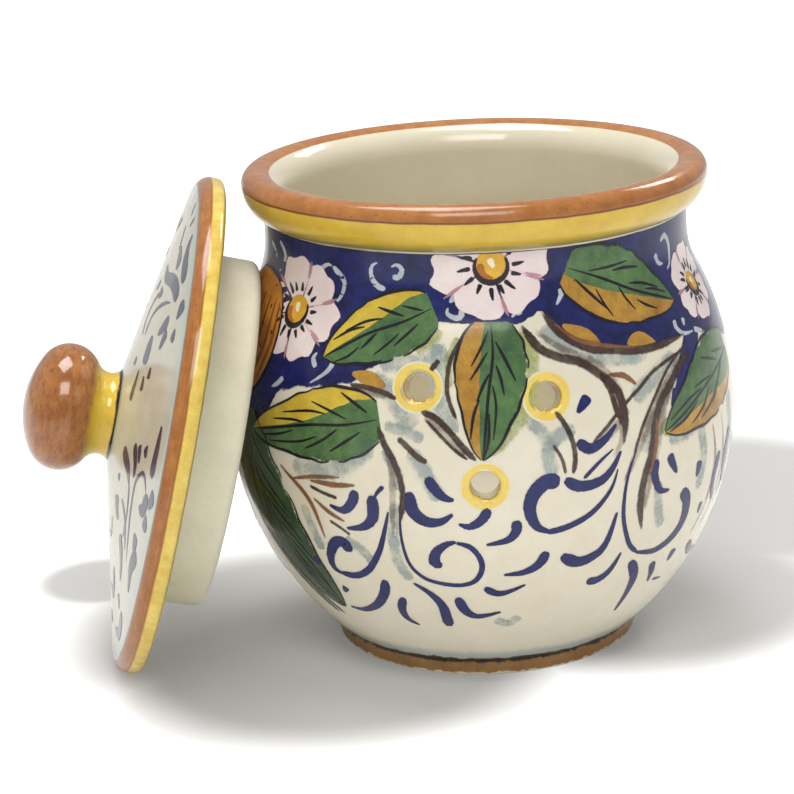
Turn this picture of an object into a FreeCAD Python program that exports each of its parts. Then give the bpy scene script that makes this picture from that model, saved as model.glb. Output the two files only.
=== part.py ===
import FreeCAD, Part
import math
import os
import Sketcher

# A glazed earthenware garlic keeper: a thrown jar with pierced vents, a lid with a locating
# flange, and the knob that was turned apart and luted on the lid.  The lid is off and leans
# against the jar.  Origin: centre of the foot on the table, +Z up, vents towards -Y.

# --------------------------------------------------------------------------- driving sizes
# Every size is in millimetres, every angle in degrees.
SIZES = [
    ("foot_height", 4.2, "turned foot, from the table to the start of the belly"),
    ("foot_ring_width", 6.5, "standing ring under the foot"),
    ("foot_recess", 2.6, "hollow turned out inside the standing ring"),
    ("belly_radius", 73.1, "largest radius of the jar"),
    ("belly_height", 68.0, "height of the largest radius"),
    ("belly_curve", 84.2, "radius of the belly's arc, seen from the side"),
    ("neck_radius", 60.0, "outside of the neck"),
    ("neck_sweep", 26.8, "hollow curve from belly to neck"),
    ("wall", 6.5, "thickness of the thrown wall"),
    ("floor_thickness", 8.0, "from the table to the inside floor"),
    ("floor_round", 12.0, "inside round from floor to wall"),
    ("neck_length", 6.1, "upright run of the neck, up to the rolled rim"),
    ("rim_overhang", 6.0, "largest radius of the rolled rim beyond the neck"),
    ("rim_swell", 10.6, "underside curve of the rolled rim"),
    ("crest_round", 3.9, "outer round of the rim's crest"),
    ("vent_diameter", 8.2, "pierced vent"),
    ("vent_left_azimuth", 14.2, "left upper vent, from the middle of its cluster"),
    ("vent_left_height", 92.2, "height of that vent"),
    ("vent_right_azimuth", 14.1, "right upper vent, from the middle of its cluster"),
    ("vent_right_height", 88.8, "height of that vent"),
    ("vent_low_height", 65.8, "height of the lower vent, in the middle"),
    ("vent_clusters", 2, "clusters of three vents, spaced evenly round the jar"),
    ("lid_overhang", 5.4, "lid's edge beyond the jar's rim"),
    ("lid_edge_height", 3.4, "underside to the lid's largest radius"),
    ("lid_edge_lower", 2.0, "round between the underside and the edge"),
    ("lid_edge_upper", 4.4, "round between the edge and the cone"),
    ("lid_thickness", 7.0, "wall of the lid's cone, measured upright"),
    ("flange_clearance", 3.5, "gap all round between flange and mouth"),
    ("flange_depth", 14.0, "flange below the lid's underside"),
    ("flange_wall", 5.6, "thickness of the flange"),
    ("flange_round", 2.6, "rounds at the end of the flange"),
    ("knob_seat_height", 18.9, "flat on top of the cone where the knob is luted"),
    ("knob_foot_radius", 13.3, "foot of the knob"),
    ("knob_neck_radius", 11.8, "narrowest part of the knob"),
    ("knob_radius", 18.2, "largest radius of the knob"),
    ("knob_middle", 14.4, "foot of the knob to its largest radius"),
    ("knob_round", 9.2, "round of the knob's side"),
    ("knob_height", 26.0, "foot of the knob to its crown"),
    ("lean_azimuth", 186.7, "side of the jar that the lid leans on"),
    ("lean_shift", 8.5, "lid's middle beside the upright plane through the jar's axis"),
    ("lean_tilt", 13.9, "rise of the lid's axis above level"),
    ("lean_gap", 0.3, "clearance between the leaning lid and the jar"),
]
size = {name: value for name, value, note in SIZES}

doc = FreeCAD.newDocument("garlic_keeper")
sheet = doc.addObject("Spreadsheet::Sheet", "sizes")
for row, (name, value, note) in enumerate(SIZES, start=1):
    sheet.set("A%d" % row, name)
    sheet.set("B%d" % row, str(value))
    sheet.set("C%d" % row, note)
    sheet.setAlias("B%d" % row, name)
doc.recompute()

START, END, CENTRE = range(1, 4)
H_AXIS, V_AXIS = range(-1, -3, -1)
ORIGIN = (H_AXIS, START)
SAME_LEVEL = 0.01
HALVINGS = 60
APPROACHES = 20
TOUCHING = 0.002


# --------------------------------------------------------------------------- drawing helpers
def new_body(name):
    """A body whose Label is also the name of its file."""
    body = doc.addObject("PartDesign::Body", name)
    body.Label = name
    return body


def origin_feature(body, role):
    """One of the body's own planes or axes."""
    return next(f for f in body.Origin.OriginFeatures if f.Role == role)


def new_sketch(body, name):
    """A sketch on the body's upright XZ plane: x is the radius, y the height."""
    sketch = body.newObject("Sketcher::SketchObject", name)
    sketch.AttachmentSupport = [(origin_feature(body, "XZ_Plane"), "")]
    sketch.MapMode = "FlatFace"
    return sketch


def point(x, y):
    return FreeCAD.Vector(x, y, 0)


def line(sketch, start, end):
    return sketch.addGeometry(Part.LineSegment(point(*start), point(*end)))


def arc(sketch, centre, start, end):
    """An anticlockwise arc about centre."""
    radius = math.dist(centre, start)
    first = math.atan2(start[1] - centre[1], start[0] - centre[0])
    last = math.atan2(end[1] - centre[1], end[0] - centre[0])
    if last <= first:
        last += 2 * math.pi
    circle = Part.Circle(point(*centre), FreeCAD.Vector(0, 0, 1), radius)
    return sketch.addGeometry(Part.ArcOfCircle(circle, first, last))


def tie(sketch, kind, *places):
    """A constraint without a size."""
    sketch.addConstraint(Sketcher.Constraint(kind, *places))


def drive(sketch, name, expression, kind, *places_and_value):
    """A constraint whose size follows an expression of the sheet's cells."""
    index = sketch.addConstraint(Sketcher.Constraint(kind, *places_and_value))
    sketch.renameConstraint(index, name)
    sketch.setExpression("Constraints." + name, expression)


def revolve(body, name, sketch):
    """Turn a profile once round the body's upright axis."""
    turned = body.newObject("PartDesign::Revolution", name)
    turned.Profile = (sketch, [""])
    turned.ReferenceAxis = (sketch, ["V_Axis"])
    turned.Angle = 360
    sketch.Visibility = False
    doc.recompute()
    return turned


# --------------------------------------------------------------------------- the jar
def draw_jar_profile(body):
    """Outside, rolled rim and inside of the jar, as one closed half section."""
    belly_r, belly_z, curve = size["belly_radius"], size["belly_height"], size["belly_curve"]
    neck_r, sweep, wall = size["neck_radius"], size["neck_sweep"], size["wall"]
    floor_z, recess, foot_z = size["floor_thickness"], size["foot_recess"], size["foot_height"]
    belly_c = (belly_r - curve, belly_z)
    foot_r = belly_c[0] + math.sqrt(curve ** 2 - (belly_z - foot_z) ** 2)
    ring_r = foot_r - size["foot_ring_width"]
    across = neck_r + sweep - belly_c[0]
    neck_c = (neck_r + sweep, belly_z + math.sqrt((curve + sweep) ** 2 - across ** 2))
    turn = math.atan2(neck_c[1] - belly_z, across)

    def on_belly(radius):
        return (belly_c[0] + radius * math.cos(turn), belly_z + radius * math.sin(turn))

    mouth_r = neck_r - wall
    floor_r = belly_c[0] + math.sqrt((curve - wall) ** 2 - (belly_z - floor_z) ** 2)
    rim_r = neck_r + size["rim_overhang"]
    rim_foot = neck_c[1] + size["neck_length"]
    inset = size["rim_swell"] - size["rim_overhang"]
    rim_z = rim_foot + math.sqrt(size["rim_swell"] ** 2 - inset ** 2)
    swell_c = (rim_r - size["rim_swell"], rim_z)
    crest_c = (rim_r - size["crest_round"], rim_z)
    crest = (crest_c[0], crest_c[1] + size["crest_round"])
    lip_c = (crest[0], crest[1] - (crest[0] - mouth_r))
    rim_side = (rim_r, rim_z)

    sketch = new_sketch(body, "jar_profile")
    foot_side = line(sketch, (foot_r, 0), (foot_r, foot_z))
    belly = arc(sketch, belly_c, (foot_r, foot_z), on_belly(curve))
    hollow = arc(sketch, neck_c, (neck_r, neck_c[1]), on_belly(curve))
    neck = line(sketch, (neck_r, neck_c[1]), (neck_r, rim_foot))
    swell = arc(sketch, swell_c, (neck_r, rim_foot), rim_side)
    crown = arc(sketch, crest_c, rim_side, crest)
    lip = arc(sketch, lip_c, crest, (mouth_r, lip_c[1]))
    mouth = line(sketch, (mouth_r, lip_c[1]), (mouth_r, neck_c[1]))
    inner_hollow = arc(sketch, neck_c, (mouth_r, neck_c[1]), on_belly(curve - wall))
    inner_belly = arc(sketch, belly_c, (floor_r, floor_z), on_belly(curve - wall))
    floor = line(sketch, (floor_r, floor_z), (0, floor_z))
    axis = line(sketch, (0, floor_z), (0, recess))
    hollow_top = line(sketch, (0, recess), (ring_r, recess))
    hollow_side = line(sketch, (ring_r, recess), (ring_r, 0))
    standing = line(sketch, (ring_r, 0), (foot_r, 0))

    corners = [
        (foot_side, END, belly, START), (neck, END, swell, START),
        (inner_belly, START, floor, START), (floor, END, axis, START),
        (axis, END, hollow_top, START), (hollow_top, END, hollow_side, START),
        (hollow_side, END, standing, START), (standing, END, foot_side, START),
        (belly, CENTRE, inner_belly, CENTRE), (hollow, CENTRE, inner_hollow, CENTRE),
    ]
    smooth = [
        (belly, END, hollow, END), (hollow, START, neck, START), (swell, END, crown, START),
        (crown, END, lip, START), (lip, END, mouth, START), (mouth, END, inner_hollow, START),
        (inner_belly, END, inner_hollow, END),
    ]
    for places in corners:
        tie(sketch, "Coincident", *places)
    for places in smooth:
        tie(sketch, "Tangent", *places)
    for upright in (foot_side, neck, mouth, hollow_side):
        tie(sketch, "Vertical", upright)
    for level in (floor, hollow_top, standing):
        tie(sketch, "Horizontal", level)
    tie(sketch, "PointOnObject", standing, START, H_AXIS)
    tie(sketch, "PointOnObject", axis, START, V_AXIS)
    tie(sketch, "PointOnObject", axis, END, V_AXIS)
    tie(sketch, "Horizontal", swell, CENTRE, crown, CENTRE)
    tie(sketch, "Vertical", crown, CENTRE, lip, CENTRE)

    drive(sketch, "foot_height", "sizes.foot_height",
          "DistanceY", foot_side, START, foot_side, END, foot_z)
    drive(sketch, "ring_width", "sizes.foot_ring_width",
          "DistanceX", standing, START, standing, END, size["foot_ring_width"])
    drive(sketch, "recess", "sizes.foot_recess",
          "DistanceY", hollow_side, END, hollow_side, START, recess)
    drive(sketch, "belly_curve", "sizes.belly_curve", "Radius", belly, curve)
    drive(sketch, "belly_centre", "sizes.belly_radius - sizes.belly_curve",
          "DistanceX", *ORIGIN, belly, CENTRE, belly_c[0])
    drive(sketch, "belly_height", "sizes.belly_height",
          "DistanceY", *ORIGIN, belly, CENTRE, belly_z)
    drive(sketch, "neck_sweep", "sizes.neck_sweep", "Radius", hollow, sweep)
    drive(sketch, "neck_radius", "sizes.neck_radius",
          "DistanceX", *ORIGIN, neck, START, neck_r)
    drive(sketch, "rim_swell", "sizes.rim_swell", "Radius", swell, size["rim_swell"])
    drive(sketch, "crest_round", "sizes.crest_round", "Radius", crown, size["crest_round"])
    drive(sketch, "neck_length", "sizes.neck_length",
          "DistanceY", neck, START, neck, END, size["neck_length"])
    drive(sketch, "rim_radius", "sizes.neck_radius + sizes.rim_overhang",
          "DistanceX", *ORIGIN, swell, END, rim_r)
    drive(sketch, "inner_curve", "sizes.belly_curve - sizes.wall",
          "Radius", inner_belly, curve - wall)
    drive(sketch, "floor_height", "sizes.floor_thickness",
          "DistanceY", *ORIGIN, axis, START, floor_z)
    return sketch


def round_floor(body, turned):
    """Fillet the inside corner where the floor meets the wall."""
    def is_corner(edge):
        box = edge.BoundBox
        level = abs(box.ZMin - size["floor_thickness"]) < SAME_LEVEL
        flat = box.ZLength < SAME_LEVEL
        return level and flat and edge.Length > 2 * math.pi * size["foot_ring_width"]

    names = ["Edge%d" % (i + 1) for i, edge in enumerate(turned.Shape.Edges) if is_corner(edge)]
    rounded = body.newObject("PartDesign::Fillet", "floor_round")
    rounded.Base = (turned, names)
    rounded.setExpression("Radius", "sizes.floor_round")
    doc.recompute()
    return rounded


def pierce_vent(body, name, azimuth, height):
    """One vent: a round hole from the jar's axis out through the wall on the -Y side."""
    sketch = new_sketch(body, name + "_circle")
    sketch.AttachmentOffset = FreeCAD.Placement(
        FreeCAD.Vector(0, 0, 0), FreeCAD.Rotation(FreeCAD.Vector(0, 1, 0), 0))
    if azimuth:
        sketch.setExpression("AttachmentOffset.Rotation.Axis.y", "1")
        sketch.setExpression("AttachmentOffset.Rotation.Angle", azimuth)
    radius = size["vent_diameter"] / 2
    circle = Part.Circle(point(0, size[height]), FreeCAD.Vector(0, 0, 1), radius)
    ring = sketch.addGeometry(circle)
    tie(sketch, "PointOnObject", ring, CENTRE, V_AXIS)
    drive(sketch, "height", "sizes." + height, "DistanceY", *ORIGIN, ring, CENTRE, size[height])
    drive(sketch, "radius", "sizes.vent_diameter / 2", "Radius", ring, radius)
    before = body.Shape.Volume
    hole = body.newObject("PartDesign::Pocket", name)
    hole.Profile = (sketch, [""])
    hole.Type = "Length"
    hole.Reversed = True
    hole.setExpression("Length", "sizes.belly_radius + sizes.belly_curve")
    sketch.Visibility = False
    doc.recompute()
    if not body.Shape.Volume < before - math.pi * radius ** 2 * size["wall"] / 2:
        raise RuntimeError(name + " cuts nothing")
    return hole


def make_jar():
    body = new_body("jar")
    profile = draw_jar_profile(body)
    turned = revolve(body, "thrown_jar", profile)
    round_floor(body, turned)
    vents = [
        pierce_vent(body, "vent_left", "-sizes.vent_left_azimuth", "vent_left_height"),
        pierce_vent(body, "vent_right", "sizes.vent_right_azimuth", "vent_right_height"),
        pierce_vent(body, "vent_low", "", "vent_low_height"),
    ]
    clusters = body.newObject("PartDesign::PolarPattern", "vent_pattern")
    clusters.Originals = vents
    clusters.Axis = (profile, ["V_Axis"])
    clusters.Angle = 360
    clusters.setExpression("Occurrences", "sizes.vent_clusters")
    body.Tip = clusters
    doc.recompute()
    return body


# --------------------------------------------------------------------------- the lid
# The lid and the knob share one frame: z = 0 is the underside that rests on the jar's rim,
# and +z runs along the axis through the knob.
LID_RADIUS = "(sizes.neck_radius + sizes.rim_overhang + sizes.lid_overhang)"
FLANGE_RADIUS = "(sizes.neck_radius - sizes.wall - sizes.flange_clearance)"


def draw_lid_profile(body):
    """Cone, rounded edge and locating flange of the lid."""
    lid_r = size["neck_radius"] + size["rim_overhang"] + size["lid_overhang"]
    flange_r = size["neck_radius"] - size["wall"] - size["flange_clearance"]
    inner_r = flange_r - size["flange_wall"]
    depth, end_round = size["flange_depth"], size["flange_round"]
    low, high, edge_z = size["lid_edge_lower"], size["lid_edge_upper"], size["lid_edge_height"]
    seat_r, seat_z = size["knob_foot_radius"], size["knob_seat_height"]
    high_c = (lid_r - high, edge_z)
    reach = math.hypot(high_c[0] - seat_r, seat_z - edge_z)
    slope = math.atan2(seat_z - edge_z, high_c[0] - seat_r) - math.asin(high / reach)
    cone_foot = (high_c[0] + high * math.sin(slope), edge_z + high * math.cos(slope))
    ceiling_z = seat_z - size["lid_thickness"]
    ceiling_edge = ceiling_z - inner_r * math.tan(slope)

    sketch = new_sketch(body, "lid_profile")
    seat = line(sketch, (0, seat_z), (seat_r, seat_z))
    cone = line(sketch, (seat_r, seat_z), cone_foot)
    upper = arc(sketch, high_c, (lid_r, edge_z), cone_foot)
    side = line(sketch, (lid_r, low), (lid_r, edge_z))
    lower = arc(sketch, (lid_r - low, low), (lid_r - low, 0), (lid_r, low))
    underside = line(sketch, (flange_r, 0), (lid_r - low, 0))
    flange_out = line(sketch, (flange_r, 0), (flange_r, end_round - depth))
    outer_end = arc(sketch, (flange_r - end_round, end_round - depth),
                    (flange_r - end_round, -depth), (flange_r, end_round - depth))
    flange_end = line(sketch, (inner_r, -depth), (flange_r - end_round, -depth))
    flange_in = line(sketch, (inner_r, ceiling_edge), (inner_r, -depth))
    ceiling = line(sketch, (0, ceiling_z), (inner_r, ceiling_edge))
    axis = line(sketch, (0, ceiling_z), (0, seat_z))

    corners = [
        (axis, END, seat, START), (seat, END, cone, START),
        (underside, START, flange_out, START), (flange_end, START, flange_in, END),
        (flange_in, START, ceiling, END), (ceiling, START, axis, START),
    ]
    smooth = [
        (cone, END, upper, END), (side, END, upper, START), (side, START, lower, END),
        (underside, END, lower, START), (flange_out, END, outer_end, END),
        (flange_end, END, outer_end, START),
    ]
    for places in corners:
        tie(sketch, "Coincident", *places)
    for places in smooth:
        tie(sketch, "Tangent", *places)
    for level in (seat, underside, flange_end):
        tie(sketch, "Horizontal", level)
    for upright in (side, flange_out, flange_in):
        tie(sketch, "Vertical", upright)
    tie(sketch, "PointOnObject", axis, START, V_AXIS)
    tie(sketch, "PointOnObject", axis, END, V_AXIS)
    tie(sketch, "PointOnObject", underside, START, H_AXIS)
    tie(sketch, "Parallel", ceiling, cone)

    drive(sketch, "seat_height", "sizes.knob_seat_height",
          "DistanceY", *ORIGIN, seat, START, seat_z)
    drive(sketch, "seat_radius", "sizes.knob_foot_radius",
          "DistanceX", *ORIGIN, seat, END, seat_r)
    drive(sketch, "lid_radius", LID_RADIUS, "DistanceX", *ORIGIN, side, START, lid_r)
    drive(sketch, "edge_height", "sizes.lid_edge_height",
          "DistanceY", *ORIGIN, side, END, edge_z)
    drive(sketch, "edge_upper", "sizes.lid_edge_upper", "Radius", upper, high)
    drive(sketch, "edge_lower", "sizes.lid_edge_lower", "Radius", lower, low)
    drive(sketch, "flange_radius", FLANGE_RADIUS,
          "DistanceX", *ORIGIN, flange_out, START, flange_r)
    drive(sketch, "flange_wall", "sizes.flange_wall",
          "DistanceX", flange_in, START, flange_out, START, size["flange_wall"])
    drive(sketch, "flange_depth", "sizes.flange_depth",
          "DistanceY", flange_end, START, *ORIGIN, depth)
    drive(sketch, "flange_round", "sizes.flange_round", "Radius", outer_end, end_round)
    drive(sketch, "ceiling_height", "sizes.knob_seat_height - sizes.lid_thickness",
          "DistanceY", *ORIGIN, axis, START, ceiling_z)
    return sketch


def make_lid():
    body = new_body("lid")
    revolve(body, "thrown_lid", draw_lid_profile(body))
    return body


# --------------------------------------------------------------------------- the knob
def draw_knob_profile(body):
    """Foot, waist, round side and crown of the knob."""
    foot_z, foot_r = size["knob_seat_height"], size["knob_foot_radius"]
    waist_r, knob_r, side_round = size["knob_neck_radius"], size["knob_radius"], size["knob_round"]
    side_c = (knob_r - side_round, foot_z + size["knob_middle"])
    top_z = foot_z + size["knob_height"]
    rise = top_z - side_c[1]
    crown_r = (side_c[0] ** 2 + rise ** 2 - side_round ** 2) / (2 * (rise - side_round))
    crown_c = (0, top_z - crown_r)
    lean = math.atan2(side_c[1] - crown_c[1], side_c[0])
    crown_edge = (crown_r * math.cos(lean), crown_c[1] + crown_r * math.sin(lean))
    waist_c, waist_round = fit_waist(foot_r, foot_z, waist_r, side_c, side_round)
    share = side_round / (side_round + waist_round)
    waist_top = (side_c[0] + share * (waist_c[0] - side_c[0]),
                 side_c[1] + share * (waist_c[1] - side_c[1]))

    sketch = new_sketch(body, "knob_profile")
    foot = line(sketch, (0, foot_z), (foot_r, foot_z))
    waist = arc(sketch, waist_c, waist_top, (foot_r, foot_z))
    side = arc(sketch, side_c, waist_top, crown_edge)
    crown = arc(sketch, crown_c, crown_edge, (0, top_z))
    axis = line(sketch, (0, top_z), (0, foot_z))

    tie(sketch, "Coincident", axis, END, foot, START)
    tie(sketch, "Coincident", foot, END, waist, END)
    tie(sketch, "Coincident", crown, END, axis, START)
    tie(sketch, "Tangent", waist, START, side, START)
    tie(sketch, "Tangent", side, END, crown, START)
    tie(sketch, "Horizontal", foot)
    tie(sketch, "PointOnObject", axis, START, V_AXIS)
    tie(sketch, "PointOnObject", axis, END, V_AXIS)
    tie(sketch, "PointOnObject", crown, CENTRE, V_AXIS)
    drive(sketch, "seat_height", "sizes.knob_seat_height",
          "DistanceY", *ORIGIN, foot, START, foot_z)
    drive(sketch, "foot_radius", "sizes.knob_foot_radius",
          "DistanceX", *ORIGIN, foot, END, foot_r)
    drive(sketch, "side_round", "sizes.knob_round", "Radius", side, side_round)
    drive(sketch, "side_centre", "sizes.knob_radius - sizes.knob_round",
          "DistanceX", *ORIGIN, side, CENTRE, side_c[0])
    drive(sketch, "middle", "sizes.knob_seat_height + sizes.knob_middle",
          "DistanceY", *ORIGIN, side, CENTRE, side_c[1])
    drive(sketch, "top", "sizes.knob_seat_height + sizes.knob_height",
          "DistanceY", *ORIGIN, axis, START, top_z)
    throat = sketch.addGeometry(Part.Point(point(waist_r, waist_c[1])), True)
    tie(sketch, "PointOnObject", throat, START, waist)
    tie(sketch, "Horizontal", throat, START, waist, CENTRE)
    drive(sketch, "waist_radius", "sizes.knob_neck_radius",
          "DistanceX", *ORIGIN, throat, START, waist_r)
    return sketch


def fit_waist(foot_r, foot_z, waist_r, side_c, side_round):
    """Centre and radius of the hollow arc from the knob's foot to its round side."""
    def miss(radius):
        """How far the arc through the foot stays from touching the side."""
        drop = math.sqrt(radius ** 2 - (waist_r + radius - foot_r) ** 2)
        centre = (waist_r + radius, foot_z + drop)
        return math.dist(centre, side_c) - radius - side_round, centre

    small, large = foot_r - waist_r, size["knob_middle"]
    for step in range(HALVINGS):
        radius = (small + large) / 2
        gap, centre = miss(radius)
        if gap > 0:
            small = radius
        else:
            large = radius
    return centre, radius


def make_knob():
    body = new_body("lid_knob")
    revolve(body, "turned_knob", draw_knob_profile(body))
    return body


# --------------------------------------------------------------------------- the leaning lid
def lean_placement(jar_shape, lid_shape):
    """Stand the lid's edge on the table and bring its flange up to the jar's side."""
    tilt, low = math.radians(size["lean_tilt"]), size["lid_edge_lower"]
    lid_r = size["neck_radius"] + size["rim_overhang"] + size["lid_overhang"]
    upright = FreeCAD.Rotation(FreeCAD.Vector(0, 1, 0), 90 - size["lean_tilt"])
    around = FreeCAD.Rotation(FreeCAD.Vector(0, 0, 1), size["lean_azimuth"])
    outward = around.multVec(FreeCAD.Vector(1, 0, 0))
    sideways = around.multVec(FreeCAD.Vector(0, size["lean_shift"], 0))
    height = (lid_r - low) * math.cos(tilt) - low * math.sin(tilt) + low
    distance = size["belly_radius"] + lid_r + size["flange_depth"]
    leaning = lid_shape.copy()
    for approach in range(APPROACHES):
        spot = outward * distance + sideways + FreeCAD.Vector(0, 0, height)
        place = FreeCAD.Placement(spot, around.multiply(upright))
        leaning.Placement = place
        spare = jar_shape.distToShape(leaning)[0] - size["lean_gap"]
        if spare < TOUCHING:
            break
        distance -= spare
    return place


jar = make_jar()
lid = make_lid()
lid_knob = make_knob()
doc.recompute()
place = lean_placement(jar.Shape, lid.Shape)
lid.Placement = place
lid_knob.Placement = place
doc.recompute()

# --------------------------------------------------------------------------- check and write
for thing in doc.Objects:
    if "Invalid" in thing.State or "Error" in thing.State:
        raise RuntimeError("%s failed: %s" % (thing.Name, thing.State))
os.makedirs("parts", exist_ok=True)
for body in (jar, lid, lid_knob):
    shape = body.Shape
    if shape.isNull() or not shape.isValid():
        raise RuntimeError(body.Label + " has no valid shape")
    shape.exportStep("parts/%s.step" % body.Label)
    box = shape.BoundBox
    print("%-9s solids %d faces %d volume %.1f cm3 box %.1f %.1f %.1f to %.1f %.1f %.1f" % (
        body.Label, len(shape.Solids), len(shape.Faces), shape.Volume / 1000,
        box.XMin, box.YMin, box.ZMin, box.XMax, box.YMax, box.ZMax))
print("lid leans at", place.Base, "gap", jar.Shape.distToShape(lid.Shape)[0])
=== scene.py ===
# %% [markdown]
# # A painted garlic keeper
# The keeper is three pieces of glazed earthenware: a thrown jar with pierced vents, a lid that
# leans on its side, and a knob that was luted on the lid.  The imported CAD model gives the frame:
# every piece here is made where the frame says, and painted the way a maiolica painter works,
# ground first, then washes, then leaves and flowers, and ink last.

# %% The frame
import math
import random

import bmesh
import bpy
from mathutils import Euler, Matrix, Vector, noise


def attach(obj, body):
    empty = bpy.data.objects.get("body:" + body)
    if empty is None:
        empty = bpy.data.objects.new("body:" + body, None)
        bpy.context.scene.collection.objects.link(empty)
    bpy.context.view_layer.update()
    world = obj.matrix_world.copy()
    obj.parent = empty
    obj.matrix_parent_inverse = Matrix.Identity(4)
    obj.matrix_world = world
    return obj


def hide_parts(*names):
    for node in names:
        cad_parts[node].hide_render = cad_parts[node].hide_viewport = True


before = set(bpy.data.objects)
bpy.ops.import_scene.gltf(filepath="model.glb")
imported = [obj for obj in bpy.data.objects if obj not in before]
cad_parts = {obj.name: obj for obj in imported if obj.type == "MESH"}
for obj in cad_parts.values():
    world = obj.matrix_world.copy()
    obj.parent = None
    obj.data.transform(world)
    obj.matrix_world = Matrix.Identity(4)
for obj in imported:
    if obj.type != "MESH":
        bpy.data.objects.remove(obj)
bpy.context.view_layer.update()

# %% [markdown]
# ## Sizes
# Pottery is measured in millimetres, so the pieces are drawn in millimetres and brought to metres
# when each is finished.  The values are those of the construction: a half section that turns
# round the jar's axis.

# %% Sizes of the jar
FOOT_HEIGHT = 4.2
FOOT_RING = 6.5
FOOT_RECESS = 2.6
BELLY_RADIUS = 73.1
BELLY_HEIGHT = 68.0
BELLY_CURVE = 84.2
NECK_RADIUS = 60.0
NECK_SWEEP = 26.8
WALL = 6.5
FLOOR = 8.0
FLOOR_ROUND = 12.0
NECK_LENGTH = 6.1
RIM_OVERHANG = 6.0
RIM_RADIUS = NECK_RADIUS + RIM_OVERHANG
RIM_SWELL = 10.6
CREST_ROUND = 3.9
VENT_RADIUS = 4.1
VENTS = [(-14.2, 92.2), (14.1, 88.8), (0.0, 65.8)]
TURNS = [0.0, 180.0]

# %% Sizes of the lid and its knob
LID_RADIUS = 71.4
EDGE_HEIGHT = 3.4
EDGE_LOWER = 2.0
EDGE_UPPER = 4.4
LID_THICKNESS = 7.0
FLANGE_RADIUS = 50.0
FLANGE_DEPTH = 14.0
FLANGE_WALL = 5.6
FLANGE_ROUND = 2.6
SEAT_HEIGHT = 18.9
KNOB_FOOT = 13.3
KNOB_WAIST = 11.8
KNOB_RADIUS = 18.2
KNOB_MIDDLE = 14.4
KNOB_ROUND = 9.2
KNOB_HEIGHT = 26.0
LEAN_AZIMUTH = 186.7
LEAN_TILT = 13.9
LEAN_REACH = 87.634
LEAN_SHIFT = 8.5

# %% [markdown]
# ## Half sections
# A potter's profile is arcs and short straight runs.  Writing it that way keeps it smooth at any
# density, and the same points later tell the painting tools where the surface is.

# %% Profile helpers
SPACING = 1.7


def arc(centre, radius, first, last, spacing=SPACING):
    """Points of an arc, angles in degrees."""
    length = abs(math.radians(last - first)) * radius
    count = max(3, round(length / spacing))
    angles = [math.radians(first + (last - first) * k / count) for k in range(count + 1)]
    return [(centre[0] + radius * math.cos(a), centre[1] + radius * math.sin(a)) for a in angles]


def run(start, end, spacing=SPACING):
    """Points of a straight stretch."""
    count = max(1, round(math.dist(start, end) / spacing))
    return [tuple(a + (b - a) * k / count for a, b in zip(start, end)) for k in range(count + 1)]


def chain(*stretches):
    """One outline from several, without the doubled points where they meet."""
    points = []
    for stretch in stretches:
        for point in stretch:
            if not points or math.dist(point, points[-1]) > 0.05:
                points.append(point)
    return points


# %% The jar's outline
belly_centre = (BELLY_RADIUS - BELLY_CURVE, BELLY_HEIGHT)
foot_angle = -math.degrees(math.asin((BELLY_HEIGHT - FOOT_HEIGHT) / BELLY_CURVE))
foot_radius = belly_centre[0] + BELLY_CURVE * math.cos(math.radians(foot_angle))
neck_across = NECK_RADIUS + NECK_SWEEP - belly_centre[0]
neck_rise = math.sqrt((BELLY_CURVE + NECK_SWEEP) ** 2 - neck_across ** 2)
neck_centre = (NECK_RADIUS + NECK_SWEEP, BELLY_HEIGHT + neck_rise)
turn_angle = math.degrees(math.atan2(neck_rise, neck_across))
NECK_TOP = neck_centre[1] + NECK_LENGTH
swell_angle = -math.degrees(math.acos((RIM_SWELL - RIM_OVERHANG) / RIM_SWELL))
RIM_HEIGHT = NECK_TOP - RIM_SWELL * math.sin(math.radians(swell_angle))
swell_centre = (RIM_RADIUS - RIM_SWELL, RIM_HEIGHT)
crest_centre = (RIM_RADIUS - CREST_ROUND, RIM_HEIGHT)
JAR_HEIGHT = RIM_HEIGHT + CREST_ROUND
mouth_radius = NECK_RADIUS - WALL
lip_roll = crest_centre[0] - mouth_radius
lip_centre = (crest_centre[0], JAR_HEIGHT - lip_roll)
inner_curve = BELLY_CURVE - WALL
floor_rise = FLOOR + FLOOR_ROUND - BELLY_HEIGHT
floor_across = math.sqrt((inner_curve - FLOOR_ROUND) ** 2 - floor_rise ** 2)
floor_centre = (belly_centre[0] + floor_across, FLOOR + FLOOR_ROUND)
floor_angle = math.degrees(math.atan2(floor_rise, floor_across))
ring_radius = foot_radius - FOOT_RING
FOOT_EDGE = 0.8

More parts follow.
